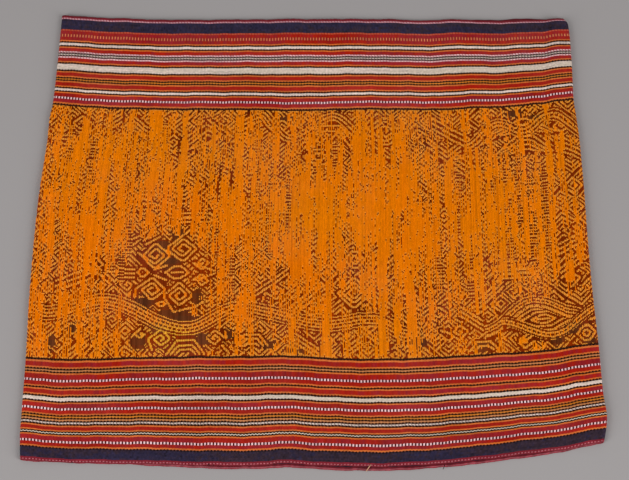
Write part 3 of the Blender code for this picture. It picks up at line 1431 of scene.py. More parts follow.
MOTIFS: tuple[Motif, ...] = (
    # The open patch at the lower left: four spirals about two eyes, with small hooks beside them.
    Spiral(-162, 219, 17.5, 9, 3, 1, tail=(-17, 3)),
    Spiral(-134, 226, 17.5, 9, 2, 1, tail=(10, 24)),
    Spiral(-164, 181, 17, 9, 2, -1, tail=(-17, -8)),
    Spiral(-136, 175, 17, 9, 2, -1, tail=(-5, -18)),
    Slants(-141, 157, 22, 6, 1, knee=-6.0),
    Eye(-174, 200, 5.5, 4.5, 1),
    Eye(-139, 200, 12, 6.5, 1),
    Slants(-145, 200, 12, 0, 1),
    Slants(-162, 203, 12, 5, 1),
    Slants(-162, 197, 12, -5, 1),
    Slants(-192, 203, 9, 0, 3, 4.4),
    Spiral(-114, 211, 10, 6, 2, 1, tail=(13, -9)),
    Spiral(-114, 191, 10, 6, 2, -1, tail=(13, 8)),
    Eye(-154, 166, 4.5, 2.5, 1),
    Slants(-187, 236, 28, 17, 1),
    Slants(-172, 231, 14, 8, 1),
    Spiral(-153, 128, 13, 7, 2, -1, tail=(-8, -12)),
    Spiral(-173, 133, 8, 5, 1, 1, tail=(-9, -3)),
    Arch(-128, 111, 19, 15, 3),
    Spiral(-99, 128, 12, 7, 0, 1, tail=(10, 8)),
    Spiral(-222, 139, 10, 6, 0, 1, tail=(12, 8)),
    Slants(-244, 118, 18, 15, 3, 5.2),
    Spiral(-246, 128, 9, 5, 1, 1),
    Slants(-262, 190, 36, 16, 3, 6.0),
    Spiral(-222, 208, 12, 6, 3, -1),
    Slants(-240, 222, 24, -20, 2, 6.0),
    # The lower middle.
    Spiral(-38, 178, 11, 7, 2, 1, tail=(-14, -10)),
    Slants(-70, 172, 44, 30, 2, 5.2),
    Slants(-24, 160, 26, 24, 3, 6.0),
    Eye(0, 160, 14, 6, 2, pitch=9.0),
    Arch(-62, 120, 16, 12, 3),
    Spiral(-92, 112, 10, 4, 1, -1),
    Spiral(-72, 126, 10, 5, 0, -1),
    Slants(-18, 132, 22, -14, 3, 5.0),
    Slants(30, 118, 18, 14, 3, 5.0),
    Eye(41, 178, 17, 15, 3, 0.12),
    Eye(42, 214, 10, 9, 2),
    Slants(72, 208, 26, 22, 2, 6.0, 6.0),
    Spiral(92, 180, 12, 7, 0, -1),
    Spiral(80, 146, 9, 6, 2, 1),
    Slants(54, 140, 22, 18, 2, 5.5),
    Slants(48, 142, 26, -20, 2, 5.0),
    Spiral(126, 154, 11, 7, 3, 1),
    Spiral(118, 178, 9, 6, 2, 1),
    Spiral(146, 134, 12, 7, 2, 1, tail=(-18, 2)),
    Slants(148, 160, 22, -16, 3, 5.0),
    Arch(170, 113, 14, 9, 2),
    # The lower right: the serpent coils about a long eye.
    Eye(231, 141.5, 34, 11.5, 3, 0.3, 11.0),
    Slants(225, 141.5, 12, 0, 1),
    Slants(184, 131, 14, 6, 1, knee=-12.0),
    Slants(206, 122, 20, 12, 2, 5.0),
    Spiral(211, 119, 9, 5, 0, -1),
    Eye(273, 121, 9, 8, 2),
    Slants(252, 196, 24, 16, 3, 5.5, 8.0),
    Slants(250, 222, 26, 10, 3, 5.5, 9.0),
    Spiral(262, 182, 10, 6, 3, 1),
    Arch(204, 204, 22, -10, 4, 4.4, 0.7),
    Arch(206, 186, 24, 12, 3, 4.4, 0.7),
    Spiral(164, 196, 10, 6, 2, 1),
    Slants(168, 168, 24, 22, 3, 5.0),
    # The upper edge.
    Spiral(-34, 366, 15, 7, 2, 1, tail=(-26, 18)),
    Slants(-78, 372, 24, 13, 3, 5.5),
    Arch(18, 340, 34, 34, 3, 6.5, 0.35),
    Eye(6, 330, 17, 9, 2, pitch=9.0),
    Spiral(29, 357, 10, 6, 1, -1, tail=(-10, -6)),
    Eye(76, 360, 24, 16, 3, 0.12, 7.4),
    Spiral(110, 356, 9, 5, 0, 1),
    Slants(120, 352, 20, -18, 3, 5.5, -14.0),
    Slants(126, 376, 38, -26, 3, 6.5),
    Slants(146, 334, 34, -26, 4, 6.0, 12.0),
    Slants(170, 354, 22, 12, 4, 5.2),
    Arch(222, 352, 36, 18, 3, 6.0, 0.12),
    Arch(222, 330, 30, 20, 4, 5.2, 0.3),
    Spiral(262, 358, 13, 7, 1, -1, tail=(-16, 8)),
    Slants(256, 340, 26, -14, 3, 5.5, -12.0),
    Spiral(-112, 352, 13, 6, 0, 1, tail=(-18, -12)),
    Slants(-140, 348, 18, 16, 4, 5.5),
    Slants(-112, 374, 26, -20, 2, 6.0),
    Slants(-190, 376, 14, -12, 4, 5.0),
    Slants(-222, 372, 18, 14, 4, 5.2),
    Spiral(-246, 366, 12, 6, 0, 1),
    Arch(-262, 344, 14, 8, 3, 5.0, 0.6),
    Slants(-196, 312, 10, 12, 4, 5.0, 8.0),
    Eye(-136, 296, 22, 14, 3, 0.1, 7.4),
    Slants(-98, 300, 10, 10, 4, 5.0, 8.0),
    Arch(-122, 256, 24, 10, 3, 5.0, 0.6),
)

# Each spot's x, height, half width and half height.
OPEN_GROUND = tuple(OpenGround(*row) for row in (
    (-154, 228, 7, 8), (-147, 212, 10, 5), (-140, 244, 7, 9), (-171, 167, 9, 6), (-147, 155, 9, 6),
    (-131, 151, 15, 5), (-118, 174, 6, 8), (-156, 142, 10, 5), (-176, 125, 8, 8), (-111, 127, 7, 6),
    (-28, 376, 9, 4), (259, 127, 10, 5), (244, 116, 8, 3), (276, 112, 6, 3), (214, 378, 10, 4),
    (236, 370, 10, 4), (168, 116, 8, 5), (-20, 114, 12, 3), (-44, 120, 8, 4), (-84, 132, 5, 4),
    (104, 124, 10, 5), (-242, 140, 6, 4), (-262, 126, 4, 6),
))

# Each ladder's x, foot, length and width.
LADDERS = tuple(Ladder(*row) for row in (
    (-190, 222, 34, 4.2), (-196, 190, 30, 3.4), (-206, 200, 40, 4.2), (-228, 210, 26, 3.4),
    (-60, 240, 110, 3.4), (-44, 220, 80, 4.2), (-26, 236, 70, 3.4), (4, 280, 50, 5.0),
    (22, 300, 46, 3.4), (56, 250, 60, 3.4), (128, 180, 66, 5.4), (151, 240, 96, 3.4),
    (160, 170, 60, 3.4), (186, 240, 80, 4.2), (202, 210, 110, 4.2), (214, 250, 76, 5.0),
    (226, 180, 120, 4.2), (240, 220, 90, 3.4), (-100, 220, 60, 3.4), (-84, 180, 70, 4.2),
    (-158, 330, 40, 4.2), (-232, 300, 50, 4.2), (-256, 320, 46, 5.0),
))

SERPENTS: tuple[Serpent, ...] = (
    Serpent((
        Bend(-292, 162), Bend(-268, 156), Bend(-214, 169), Bend(-128, 139), Bend(-76, 161),
        Bend(8, 144), Bend(60, 150), Bend(96, 134),
    )),
    Serpent((
        Bend(172, 132), Bend(221, 161), Bend(278, 140), Bend(294, 143),
    ), rows=(-6.6, -1.8, 1.4, 4.8), broken=(2,), half_band=7.0, half_row=0.8),
    Serpent((
        Bend(190, 141), Bend(240, 124), Bend(294, 150),
    ), rows=(-3.6, 0.0, 3.6), broken=(1,), half_band=5.0, half_row=0.8),
    Serpent((
        Bend(-60, 386), Bend(-24, 352), Bend(20, 378), Bend(58, 350),
    ), rows=(-2.1, 2.1), broken=(), half_band=5.0),
    Serpent((
        Bend(160, 340), Bend(196, 366), Bend(222, 356), Bend(250, 372), Bend(290, 346),
    ), rows=(-4.2, 0.0, 4.2), broken=(1,), half_band=6.5),
)

# Each patch's x, height, half width, half height, and how much shows there.
PATCHES = tuple(Patch(*row) for row in (
    (0, 394, 420, 30, 0.72), (0, 104, 420, 54, 0.76), (292, 250, 62, 180, 0.86),
    (-292, 240, 46, 180, 0.55), (-268, 378, 44, 22, 0.8), (-20, 378, 40, 28, 0.8),
    (76, 360, 22, 17, 0.75), (150, 356, 50, 34, 0.62), (232, 352, 50, 44, 0.85),
    (-139, 340, 20, 40, 0.5), (-116, 306, 60, 40, 0.42), (10, 330, 30, 40, 0.36),
    (72, 340, 34, 40, 0.28), (150, 374, 22, 20, 0.42), (-250, 336, 30, 30, 0.52),
    (282, 374, 40, 26, 0.98), (40, 270, 76, 44, 0.06), (96, 232, 50, 40, 0.14),
    (152, 236, 26, 36, 0.1), (160, 280, 50, 44, 0.2), (-225, 286, 50, 44, 0.26),
    (-100, 262, 30, 30, 0.16), (-166, 190, 60, 46, 0.66), (-60, 178, 50, 28, 0.6),
    (-13, 172, 22, 30, 0.74), (68, 126, 30, 20, 0.34), (28, 190, 22, 60, 0.14),
    (56, 186, 60, 40, 0.32), (40, 160, 40, 20, 0.5), (140, 170, 44, 44, 0.6),
    (210, 200, 54, 44, 0.7), (272, 124, 34, 24, 1.0), (234, 142, 56, 24, 1.0),
    (-148, 202, 50, 52, 1.0), (-82, 215, 20, 60, 0.2), (-140, 130, 50, 24, 1.0),
))

# Each streak's x, half width, lowest and highest place, and share.
PLAIN_STREAKS = tuple(PlainStreak(*row) for row in (
    (-214, 2.2, 108, 200), (-236, 2.4, 120, 230, 0.7), (-94, 3.6, 196, 300, 0.8),
    (13, 5.0, 108, 172), (34, 3.0, 108, 160, 0.8), (70, 5.0, 108, 330), (98, 4.4, 108, 250),
    (108, 3.0, 200, 386, 0.7), (140, 2.6, 190, 320, 0.8), (168, 5.0, 150, 340),
    (194, 3.6, 190, 340), (206, 1.8, 230, 340, 0.8), (220, 2.2, 210, 350, 0.85),
    (234, 2.2, 200, 330, 0.85), (247, 3.2, 176, 386), (262, 2.0, 180, 350, 0.8),
    (-270, 3.0, 200, 340, 0.8), (-168, 6.0, 290, 386, 0.8), (-146, 3.0, 250, 300, 0.8),
    (-78, 4.0, 240, 386, 0.8), (-48, 3.0, 300, 360, 0.6), (48, 6.0, 270, 386, 0.9),
))


@dataclass
class Field:
    """The stretch of the tube between the two seams, as heights above the hem.

    The hidden side has the shown side's pattern, turned end for end. Each place across it
    reads the pattern at `turned_share` of that distance from the middle.
    """

    low: float
    high: float
    turned_share: float = 0.97

    def charted(
        self, around: np.ndarray, height: np.ndarray, drape: Drape
    ) -> tuple[np.ndarray, np.ndarray]:
        """Where each place lies in the chart.

        Args:
            around: Shares of one turn of the tube, one for each column.
            height: Heights above the hem, one for each row.
            drape: The lie of the cloth.

        Returns:
            The places across the chart and up it, in millimetres, as arrays of rows by columns.
        """
        x = drape.outer(around[None, :], height[:, None])[..., 0] / MM
        level = np.broadcast_to(height[:, None] / MM, x.shape)
        behind = np.broadcast_to((around > 0.5)[None, :], x.shape)
        x = np.where(behind, -x * self.turned_share, x)
        return x, np.where(behind, (self.low + self.high) / MM - level, level)


@dataclass
class FieldChart(Field):
    """Where the orange yarns float on top, cell by cell, all round the tube.

    Its sizes are in millimetres but for the row's height. The motifs have lines and a halo. The
    small pattern has cells, and lines a pitch apart. Patches say how much of the dark pattern
    shows: the pattern is whole where that is at least `whole_from`.
    """

    row_height: float = 1.1 * MM
    half_line: float = 1.15
    halo: float = 2.3
    cell: float = 27.0
    pitch: float = 5.7
    squat: float = 0.92
    dark_share: float = 0.47
    least_shows: float = 0.34
    whole_from: float = 0.88
    patch_steepness: float = 0.7
    every_other: float = 0.6
    by_pick: Mottle = Mottle(0, 0.5, (1.0, 1.1))
    by_picks: Mottle = Mottle(1, 0.35, (1.0, 6.0))
    drift: Mottle = Mottle(2, 0.75, (15.0, 2.2))
    grain: Mottle = Mottle(3, 0.6, (1.6, 0.4))
    chance_steepness: float = 1.5
    fleck: Mottle = Mottle(7, 1.0, (0.9, 0.2))
    fleck_places: Mottle = Mottle(8, 0.3, (18.0, 14.0))
    fleck_from: float = 2.15
    seed: int = 311

    def orange(self, drape: Drape) -> np.ndarray:
        """Works out the chart.

        Args:
            drape: The lie of the cloth.

        Returns:
            An array of rows by picks, true where an orange yarn floats on top.
        """
        rows = int(round((self.high - self.low) / self.row_height))
        height = self.low + (np.arange(rows) + 0.5) * (self.high - self.low) / rows
        around = (np.arange(FIELD_PICKS) + 0.5) / FIELD_PICKS
        x, high = self.charted(around, height, drape)
        return ~(self.pattern(x, high) & self.shown(x, high)) & ~self.flecks(rows)

    def pattern(self, x: np.ndarray, high: np.ndarray) -> np.ndarray:
        """The whole dark pattern, before the orange yarns cover parts of it.

        Args:
            x: Each cell's place across, in millimetres.
            high: Each cell's height, in millimetres.

        Returns:
            True where the pattern is dark.
        """
        pick = np.arange(x.shape[1])[None, :]
        dark = np.zeros(x.shape, bool)
        line = np.zeros(x.shape, bool)
        for spot in OPEN_GROUND:
            dark |= spot.away(x, high) < 1
        for motif in MOTIFS:
            for path in motif.paths():
                away = distance_to(path, x, high)
                dark |= away < self.half_line + self.halo
                line |= away < self.half_line
        for ladder in LADDERS:
            for path in ladder.paths():
                near = distance_to(path, x, high) < ladder.reach
                dark |= near
                line |= near & (np.abs(high - path[0][1]) < ladder.half_rung)
        used = dark.copy()
        for serpent in SERPENTS:
            away = serpent.offset(x, high)
            band = np.abs(away) < serpent.half_band
            dark = (dark | (np.abs(away) < serpent.half_band + serpent.halo)) & ~band
            line &= ~band
            for number, row in enumerate(serpent.rows):
                on = ((pick + 2 * number) % serpent.dash > 0) | (number not in serpent.broken)
                dark |= band & (np.abs(away - row) < serpent.half_row) & on
            used |= band
        dark |= self.lattice(x, high) & ~used
        return dark & ~line

    def lattice(self, x: np.ndarray, high: np.ndarray) -> np.ndarray:
        """The small pattern between the motifs: diamonds filled with rings, keys and chevrons.

        Args:
            x: Each cell's place across, in millimetres.
            high: Each cell's height, in millimetres.

        Returns:
            True where the small pattern is dark.
        """
        rising, falling = x + high / self.squat, x - high / self.squat
        column, row = np.floor(rising / self.cell), np.floor(falling / self.cell)
        p = rising - (column + 0.5) * self.cell
        q = falling - (row + 0.5) * self.cell
        # Seven kinds in a mixed order: most are keys, and the others rings or chevrons.
        kind = (3 * column + 5 * row + column * row) % 7
        ring = np.maximum(np.abs(p), np.abs(q))
        turn = np.arctan2(q, p) / (2 * pi)
        keyed = ring + self.pitch * np.where(kind < 2, turn, -turn)
        chevrons = np.maximum(p, -q), np.maximum(-p, q)
        ring = np.select([kind < 4, kind == 5, kind == 6], [keyed, *chevrons], ring)
        return ring % self.pitch < self.dark_share * self.pitch

    def shown(self, x: np.ndarray, high: np.ndarray) -> np.ndarray:
        """Where the dark pattern shows through the orange yarns.

        Args:
            x: Each cell's place across, in millimetres.
            high: Each cell's height, in millimetres.

        Returns:
            True where the pattern shows.
        """
        shows = np.full(x.shape, self.least_shows)
        for patch in PATCHES:
            across, up = (x - patch.x) / patch.half_width, (high - patch.height) / patch.half_height
            near = np.exp(-((across**2 + up**2) ** 2) * self.patch_steepness)
            shows = shows + (patch.shows - shows) * near
        for streak in PLAIN_STREAKS:
            on = (np.abs(x - streak.x) < streak.half_width) & (high > streak.low) & (high < streak.high)
            shows = np.where(on, shows * (1 - streak.share), shows)
        rows = len(x)
        turn = np.where(np.arange(FIELD_PICKS) % 2 == 0, self.every_other, -self.every_other)
        by_pick = self.by_pick.over(self.seed, 1, FIELD_PICKS)
        by_pick = by_pick + self.by_picks.over(self.seed, 1, FIELD_PICKS) + turn
        drift = self.drift.over(self.seed, rows, FIELD_PICKS)
        grain = self.grain.over(self.seed, rows, FIELD_PICKS)
        chance = 1 / (1 + np.exp(-(by_pick + drift + grain) * self.chance_steepness))
        return chance < np.where(shows > self.whole_from, 1.0, shows)

    def flecks(self, rows: int) -> np.ndarray:
        """Small dark flecks where a single orange float is missing.

        Args:
            rows: How many rows the chart has.

        Returns:
            True at each fleck.
        """
        fleck = self.fleck.over(self.seed, rows, FIELD_PICKS)
        return fleck > self.fleck_from - self.fleck_places.over(self.seed, rows, FIELD_PICKS)


@dataclass
class FieldCloth(Field):
    """The patterned field: a ribbed dark ground, and orange yarns that float over it.

    A float is a crowned ribbon, tied down every few rows. One of at most `bead_rows` rows is a bead,
    narrower, pulled to one side, and mixed with honey yellow as a painted highlight. A long one
    rises from each end within `rise_rows` and carries that painted highlight there. The shares of
    widths are of one pick, and those of heights are of the crown.
    """

    node: str = "body_cloth"
    inset: float = 0.46 * MM
    thickness: float = 0.9 * MM
    rib: float = 0.10 * MM
    ground_rows: int = 45
    inner_row_step: int = 6
    pick_shade: Mottle = Mottle(0, 0.16, (2.0, 0.4))
    slow_shade: Mottle = Mottle(1, 0.10, (5.0, 8.0))
    tint: Mottle = Mottle(2, 1.0, (2.0, 3.0))
    plum_all: float = 0.12
    plum_bare: float = 0.8
    bare_margin: tuple[float, float] = (2, 3)
    crown: float = 0.34 * MM
    crown_spread: tuple[float, float] = (0.86, 1.0)
    tie: float = 0.2 * MM
    end_lift: float = 0.10
    end_gap: float = 0.08 * MM
    edge_lift: float = 0.3
    sunk: float = 0.02 * MM
    width_share: float = 1.0
    width_spread: tuple[float, float] = (0.95, 1.03)
    wander: float = 0.03
    tie_share: float = 0.9
    thin_chance: float = 0.10
    thinning: float = 0.16
    bead_rows: int = 3
    bead_share: float = 0.92
    bead_pull: float = 0.08
    # Painted highlight: how much honey yellow beads and the ends of long floats take.
    bead_highlight: float = 0.7
    end_highlight: float = 0.5
    rise_rows: float = 1.3
    lot: Mottle = Mottle(3, 1.0, (1.0, 0.5))
    patch: Mottle = Mottle(4, 1.0, (30.0, 40.0))
    lot_tone: float = 0.05
    patch_tone: float = 0.03
    yarn_tone: float = 0.05
    most_tone: float = 0.3
    depth: float = 0.5
    lot_depth: float = 0.15
    patch_depth: float = 0.32
    most_depth: float = 0.5
    straw_at: tuple[float, float] = (-146.0, -119.0)
    straw_reach: tuple[float, float] = (32.0, 15.0)
    straw_most: float = 0.75
    underside: float = 2.0
    seed: int = 97

    def ground(self, drape: Drape, material: bpy.types.Material) -> bpy.types.Object:
        """Makes the dark ground and puts it in place of the field's solid.

        Args:
            drape: The lie of the cloth.
            material: The ground's cotton.

        Returns:
            The ground.
        """
        columns = 2 * PICKS
        middle = np.arange(columns) % 2
        heights = np.linspace(self.low, self.high, self.ground_rows)
        rows = np.repeat(heights[:, None], columns, axis=1)
        lift = np.broadcast_to(-self.inset - self.rib + self.rib * middle, rows.shape)
        size = self.seed, self.ground_rows - 1, PICKS
        light = 1 + self.pick_shade.over(*size) + self.slow_shade.over(*size)
        tint = np.clip(self.tint.over(*size), -1, 1)
        around = (np.arange(PICKS) + 0.5) / PICKS
        x, level = self.charted(around, (heights[:-1] + heights[1:]) / 2, drape)
        bare = np.zeros(x.shape)
        for spot in OPEN_GROUND:
            bare = np.maximum(bare, np.exp(-(spot.away(x, level, self.bare_margin) ** 2)))
        mix = np.clip(self.plum_all * (0.5 + 0.5 * tint) + self.plum_bare * bare, 0, 1)[..., None]
        colour = Dye.GROUND.linear * (1 - mix) + Dye.PLUM.linear * mix
        colours = np.repeat(np.clip(colour * light[..., None], 0, 1), 2, axis=1)
        inner = np.vstack([rows[:: self.inner_row_step], rows[-1:]])
        inside = np.broadcast_to(Dye.GROUND.linear, (len(inner) - 1, columns, 3))
        shell = Shell(drape, rows, lift, colours, inner, inside, -self.inset - self.thickness)
        piece = shell.build("body_ground", material)
        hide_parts(self.node)
        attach(piece, ROOT)
        return piece

    def runs(self, chart: np.ndarray, picks: range) -> list[tuple[int, int, int]]:
        """The unbroken stretches of orange yarn.

        Args:
            chart: True where orange floats on top.
            picks: The picks to read.

        Returns:
            For each stretch its pick, and the rows that it starts and ends at.
        """
        found = []
        for pick in picks:
            column = np.concatenate([[False], chart[:, pick], [False]]).astype(int)
            change = np.flatnonzero(np.diff(column))
            found += [(pick, int(a), int(b)) for a, b in zip(change[::2], change[1::2])]
        return found

    def profile(
        self, start: int, end: int, phase: int, every: int, random: np.random.Generator
    ) -> tuple[np.ndarray, list[float]]:
        """The rise and fall of one float, from its first row to its last.

        Args:
            start: The row that it starts at.
            end: The row that it ends at.
            phase: Which rows it is tied down at, as a remainder.
            every: How many rows lie between two ties.
            random: The source of uneven crowns.

        Returns:
            The rows of its ends, crowns and ties in turn, and the lift at each.
        """
        inside = (float(row) for row in range(start + 2, end - 1) if row % every == phase)
        ties = [float(start), *inside, float(end)]
        stops, lifts = [ties[0]], [self.end_lift * self.crown]
        for first, second in zip(ties, ties[1:]):
            crown = (first + second) / 2
            if len(ties) > 2 and first == ties[0]:
                crown = min(crown, first + self.rise_rows)
            if len(ties) > 2 and second == ties[-1]:
                crown = max(crown, second - self.rise_rows)
            stops += [crown, second]
            lifts += [self.crown * random.uniform(*self.crown_spread), self.tie]
        lifts[-1] = self.end_lift * self.crown
        return np.array(stops), lifts

    def floats(
        self,
        name: str,
        chart: np.ndarray,
        picks: range,
        drape: Drape,
        material: bpy.types.Material,
        every: int,
    ) -> bpy.types.Object:
        """Makes the floating yarns over some of the picks, as crowned ribbons.

        Args:
            name: The piece's name.
            chart: True where orange floats on top.
            picks: The picks to cover.
            drape: The lie of the cloth.
            material: The yarn's cotton.
            every: How many rows lie between two ties of a long float.

        Returns:
            The floats, as one piece.
        """
        random = np.random.default_rng(self.seed + picks.start)
        row_height = (self.high - self.low) / len(chart)
        pick_share = 1 / FIELD_PICKS
        around, height, lift, faces, tones, depths, painted_highlight = [], [], [], [], [], [], []
        lot = self.lot.over(self.seed, 1, FIELD_PICKS)[0]
        patch = self.patch.over(self.seed, len(chart), FIELD_PICKS)
        for pick, start, end in self.runs(chart, picks):
            stops, lifts = self.profile(start, end, (3 * pick) % every, every, random)
            stops = stops * row_height + self.low
            if end - start > 1:
                stops[0] += self.end_gap
                stops[-1] -= self.end_gap
            bead = end - start <= self.bead_rows
            share = self.bead_share if bead else self.width_share
            thin = random.random() < self.thin_chance
            half = pick_share / 2 * (share - self.thinning * thin) * random.uniform(*self.width_spread)
            middle = (pick + 0.5) * pick_share + random.normal() * self.wander * pick_share
            if bead:
                middle += self.bead_pull * pick_share * (1 if pick % 2 == 0 else -1)
            count = len(height)
            for number, (stop, high) in enumerate(zip(stops, lifts)):
                held = half * (1.0 if number % 2 else self.tie_share)
                around += [middle - held, middle, middle + held]
                height += [stop] * 3
                lift += [high * self.edge_lift, high, high * self.edge_lift]
            pieces = len(stops) - 1
            for number in range(pieces):
                base = count + 3 * number
                faces.append((base, base + 1, base + 4, base + 3))
                faces.append((base + 1, base + 2, base + 5, base + 4))
                row = min(int((stops[number] - self.low) / row_height), len(chart) - 1)
                tone = self.lot_tone * lot[pick] + self.patch_tone * patch[row, pick]
                tones += [tone + self.yarn_tone * random.normal()] * 2
                span = (stops[number + 1] - stops[number]) / row_height
                # Painted highlight of honey yellow on beads and on the ends of long floats.
                at_end = number in (0, pieces - 1)
                end_share = self.end_highlight * min(1.0, self.rise_rows / span) if at_end else 0.0
                painted_highlight += [max(self.bead_highlight * bead, end_share)] * 2
                depth = self.depth + self.patch_depth * patch[row, pick] + self.lot_depth * lot[pick]
                depths += [depth] * 2
        around, height, faces = np.array(around), np.array(height), np.array(faces)
        points = drape.point(around, height, np.array(lift) - self.inset - self.sunk)
        places = np.stack([around[faces] * drape.girth(drape.waist / 2), height[faces]], axis=-1)
        light = 1 + np.clip(np.array(tones), -self.most_tone, self.most_tone)[:, None]
        colour = Dye.FIELD.linear
        # Deeper orange, then honey yellow as painted highlight, then straw yellow near one motif.
        for dye, amount in (
            (Dye.DEEP, np.clip(np.array(depths), 0, 1) * self.most_depth),
            (Dye.HONEY_HIGHLIGHT, np.array(painted_highlight)),
            (Dye.STRAW, self.straw_share(points[faces].mean(axis=1))),
        ):
            colour = colour * (1 - amount[:, None]) + dye.linear * amount[:, None]
        piece = make_piece(name, points, faces, material, places, np.clip(colour * light, 0, 1))
        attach(piece, ROOT)
        return piece

    def straw_share(self, places: np.ndarray) -> np.ndarray:
        """How much the orange turns to straw yellow, near one motif at the lower left.

        Args:
            places: Points on the cloth.

        Returns:
            A share from 0 to 1 for each point.
        """
        x, y, z = places.T / MM
        across = (x - self.straw_at[0]) / self.straw_reach[0]
        up = (y - self.straw_at[1]) / self.straw_reach[1]
        near = np.exp(-((across**2 + up**2) ** 2))
        return np.where(z > self.underside, self.straw_most * near, 0.0)


@dataclass
class Overcasting:
    """Short slanting stitches of dark thread that join two rings of cloth, all round.

    `profile` gives places along a stitch, from -1 to 1, and the share of the crown at each.
    """

    seam: float
    upper_inset: float
    lower_inset: float
    spacing: float = 2.2 * MM
    reach: float = 0.95 * MM
    slant: float = 0.7 * MM
    half_width: float = 0.28 * MM
    crown: float = 0.28 * MM
    side_lift: float = 0.35
    jitter: float = 0.16
    reach_spread: tuple[float, float] = (0.8, 1.12)
    shade: float = 0.25
    profile: tuple[tuple[float, float], ...] = (
        (-1.0, 0.0), (-0.45, 0.75), (0.1, 1.0), (0.55, 0.75), (1.0, 0.0),
    )
    seed: int = 53

    def build(self, name: str, drape: Drape, material: bpy.types.Material) -> bpy.types.Object:
        """Makes the stitches of one seam.

        Args:
            name: The piece's name.
            drape: The lie of the cloth.
            material: The thread's cotton.

        Returns:
            The stitches, as one piece.
        """
        girth = drape.girth(self.seam)
        count = int(girth / self.spacing)
        random = np.random.default_rng(self.seed)
        middle = (np.arange(count) + random.uniform(-self.jitter, self.jitter, count)) / count
        long = self.reach * random.uniform(*self.reach_spread, count)
        stops, lifts = np.array(self.profile).T
        lifts = lifts * self.crown
        inset = np.where(stops < 0, self.lower_inset, self.upper_inset)
        height = self.seam + stops[None, :, None] * long[:, None, None]
        lean = middle[:, None, None] + stops[None, :, None] * self.slant / girth
        sides = np.array([-1.0, 0.0, 1.0])[None, None, :] * self.half_width / girth
        bulge = np.array([self.side_lift, 1.0, self.side_lift])
        lift = lifts[None, :, None] * bulge - inset[None, :, None]
        shape = (count, len(stops), 3)
        around, height = np.broadcast_to(lean + sides, shape), np.broadcast_to(height, shape)
        points = drape.point(around, height, np.broadcast_to(lift, shape)).reshape(-1, 3)
        index = np.arange(points.shape[0]).reshape(shape)
        faces = np.stack(
            [index[:, :-1, :-1], index[:, :-1, 1:], index[:, 1:, 1:], index[:, 1:, :-1]], axis=-1
        ).reshape(-1, 4)
        places = np.stack([around.ravel()[faces] * girth, height.ravel()[faces]], axis=-1)
        light = np.repeat(1 + self.shade * random.normal(size=count), len(faces) // count)
        colours = np.clip(Dye.UMBER.linear * light[:, None], 0, 1)
        piece = make_piece(name, points, faces, material, places, colours)
        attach(piece, ROOT)
        return piece


@dataclass
class YarnEnd:
    """A loose end of yarn at the hem, lying on the cloth."""

    places: tuple[tuple[float, float, float], ...]
    dye: Dye
    radius: float = 0.38 * MM
    tip: float = 0.45
    sides: int = 7

    def build(self, name: str, material: bpy.types.Material) -> bpy.types.Object:
        """Makes the yarn as a fine tube through its places.

        Args:
            name: The piece's name.
            material: The yarn's cotton.

        Returns:
            The yarn end.
        """
        route = np.array(self.places) * MM
        turns = np.linspace(0, 2 * pi, self.sides, endpoint=False)
        ahead = np.gradient(route, axis=0)
        ahead /= np.linalg.norm(ahead, axis=1, keepdims=True)
        side = np.cross(ahead, [0.0, 0.0, 1.0])
        side /= np.linalg.norm(side, axis=1, keepdims=True)
        over = np.cross(side, ahead)
        number = np.arange(len(route))
        from_end = np.minimum(number, number[::-1])
        taper = self.radius * np.minimum(1.0, self.tip + (1 - self.tip) * from_end)
        ring = np.cos(turns)[None, :, None] * side[:, None]
        ring = ring + np.sin(turns)[None, :, None] * over[:, None]
        points = route[:, None] + ring * taper[:, None, None]
        index = np.arange(points.shape[0] * self.sides).reshape(points.shape[:2])
        after = np.roll(index, -1, axis=1)
        faces = np.stack([index[:-1], after[:-1], after[1:], index[1:]], axis=-1).reshape(-1, 4)
        flat = points.reshape(-1, 3)
        places = flat[faces][..., :2]
        colours = np.tile(self.dye.linear, (len(faces), 1))
        piece = make_piece(name, flat, faces, material, places, colours)
        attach(piece, ROOT)
        return piece


# The studio.


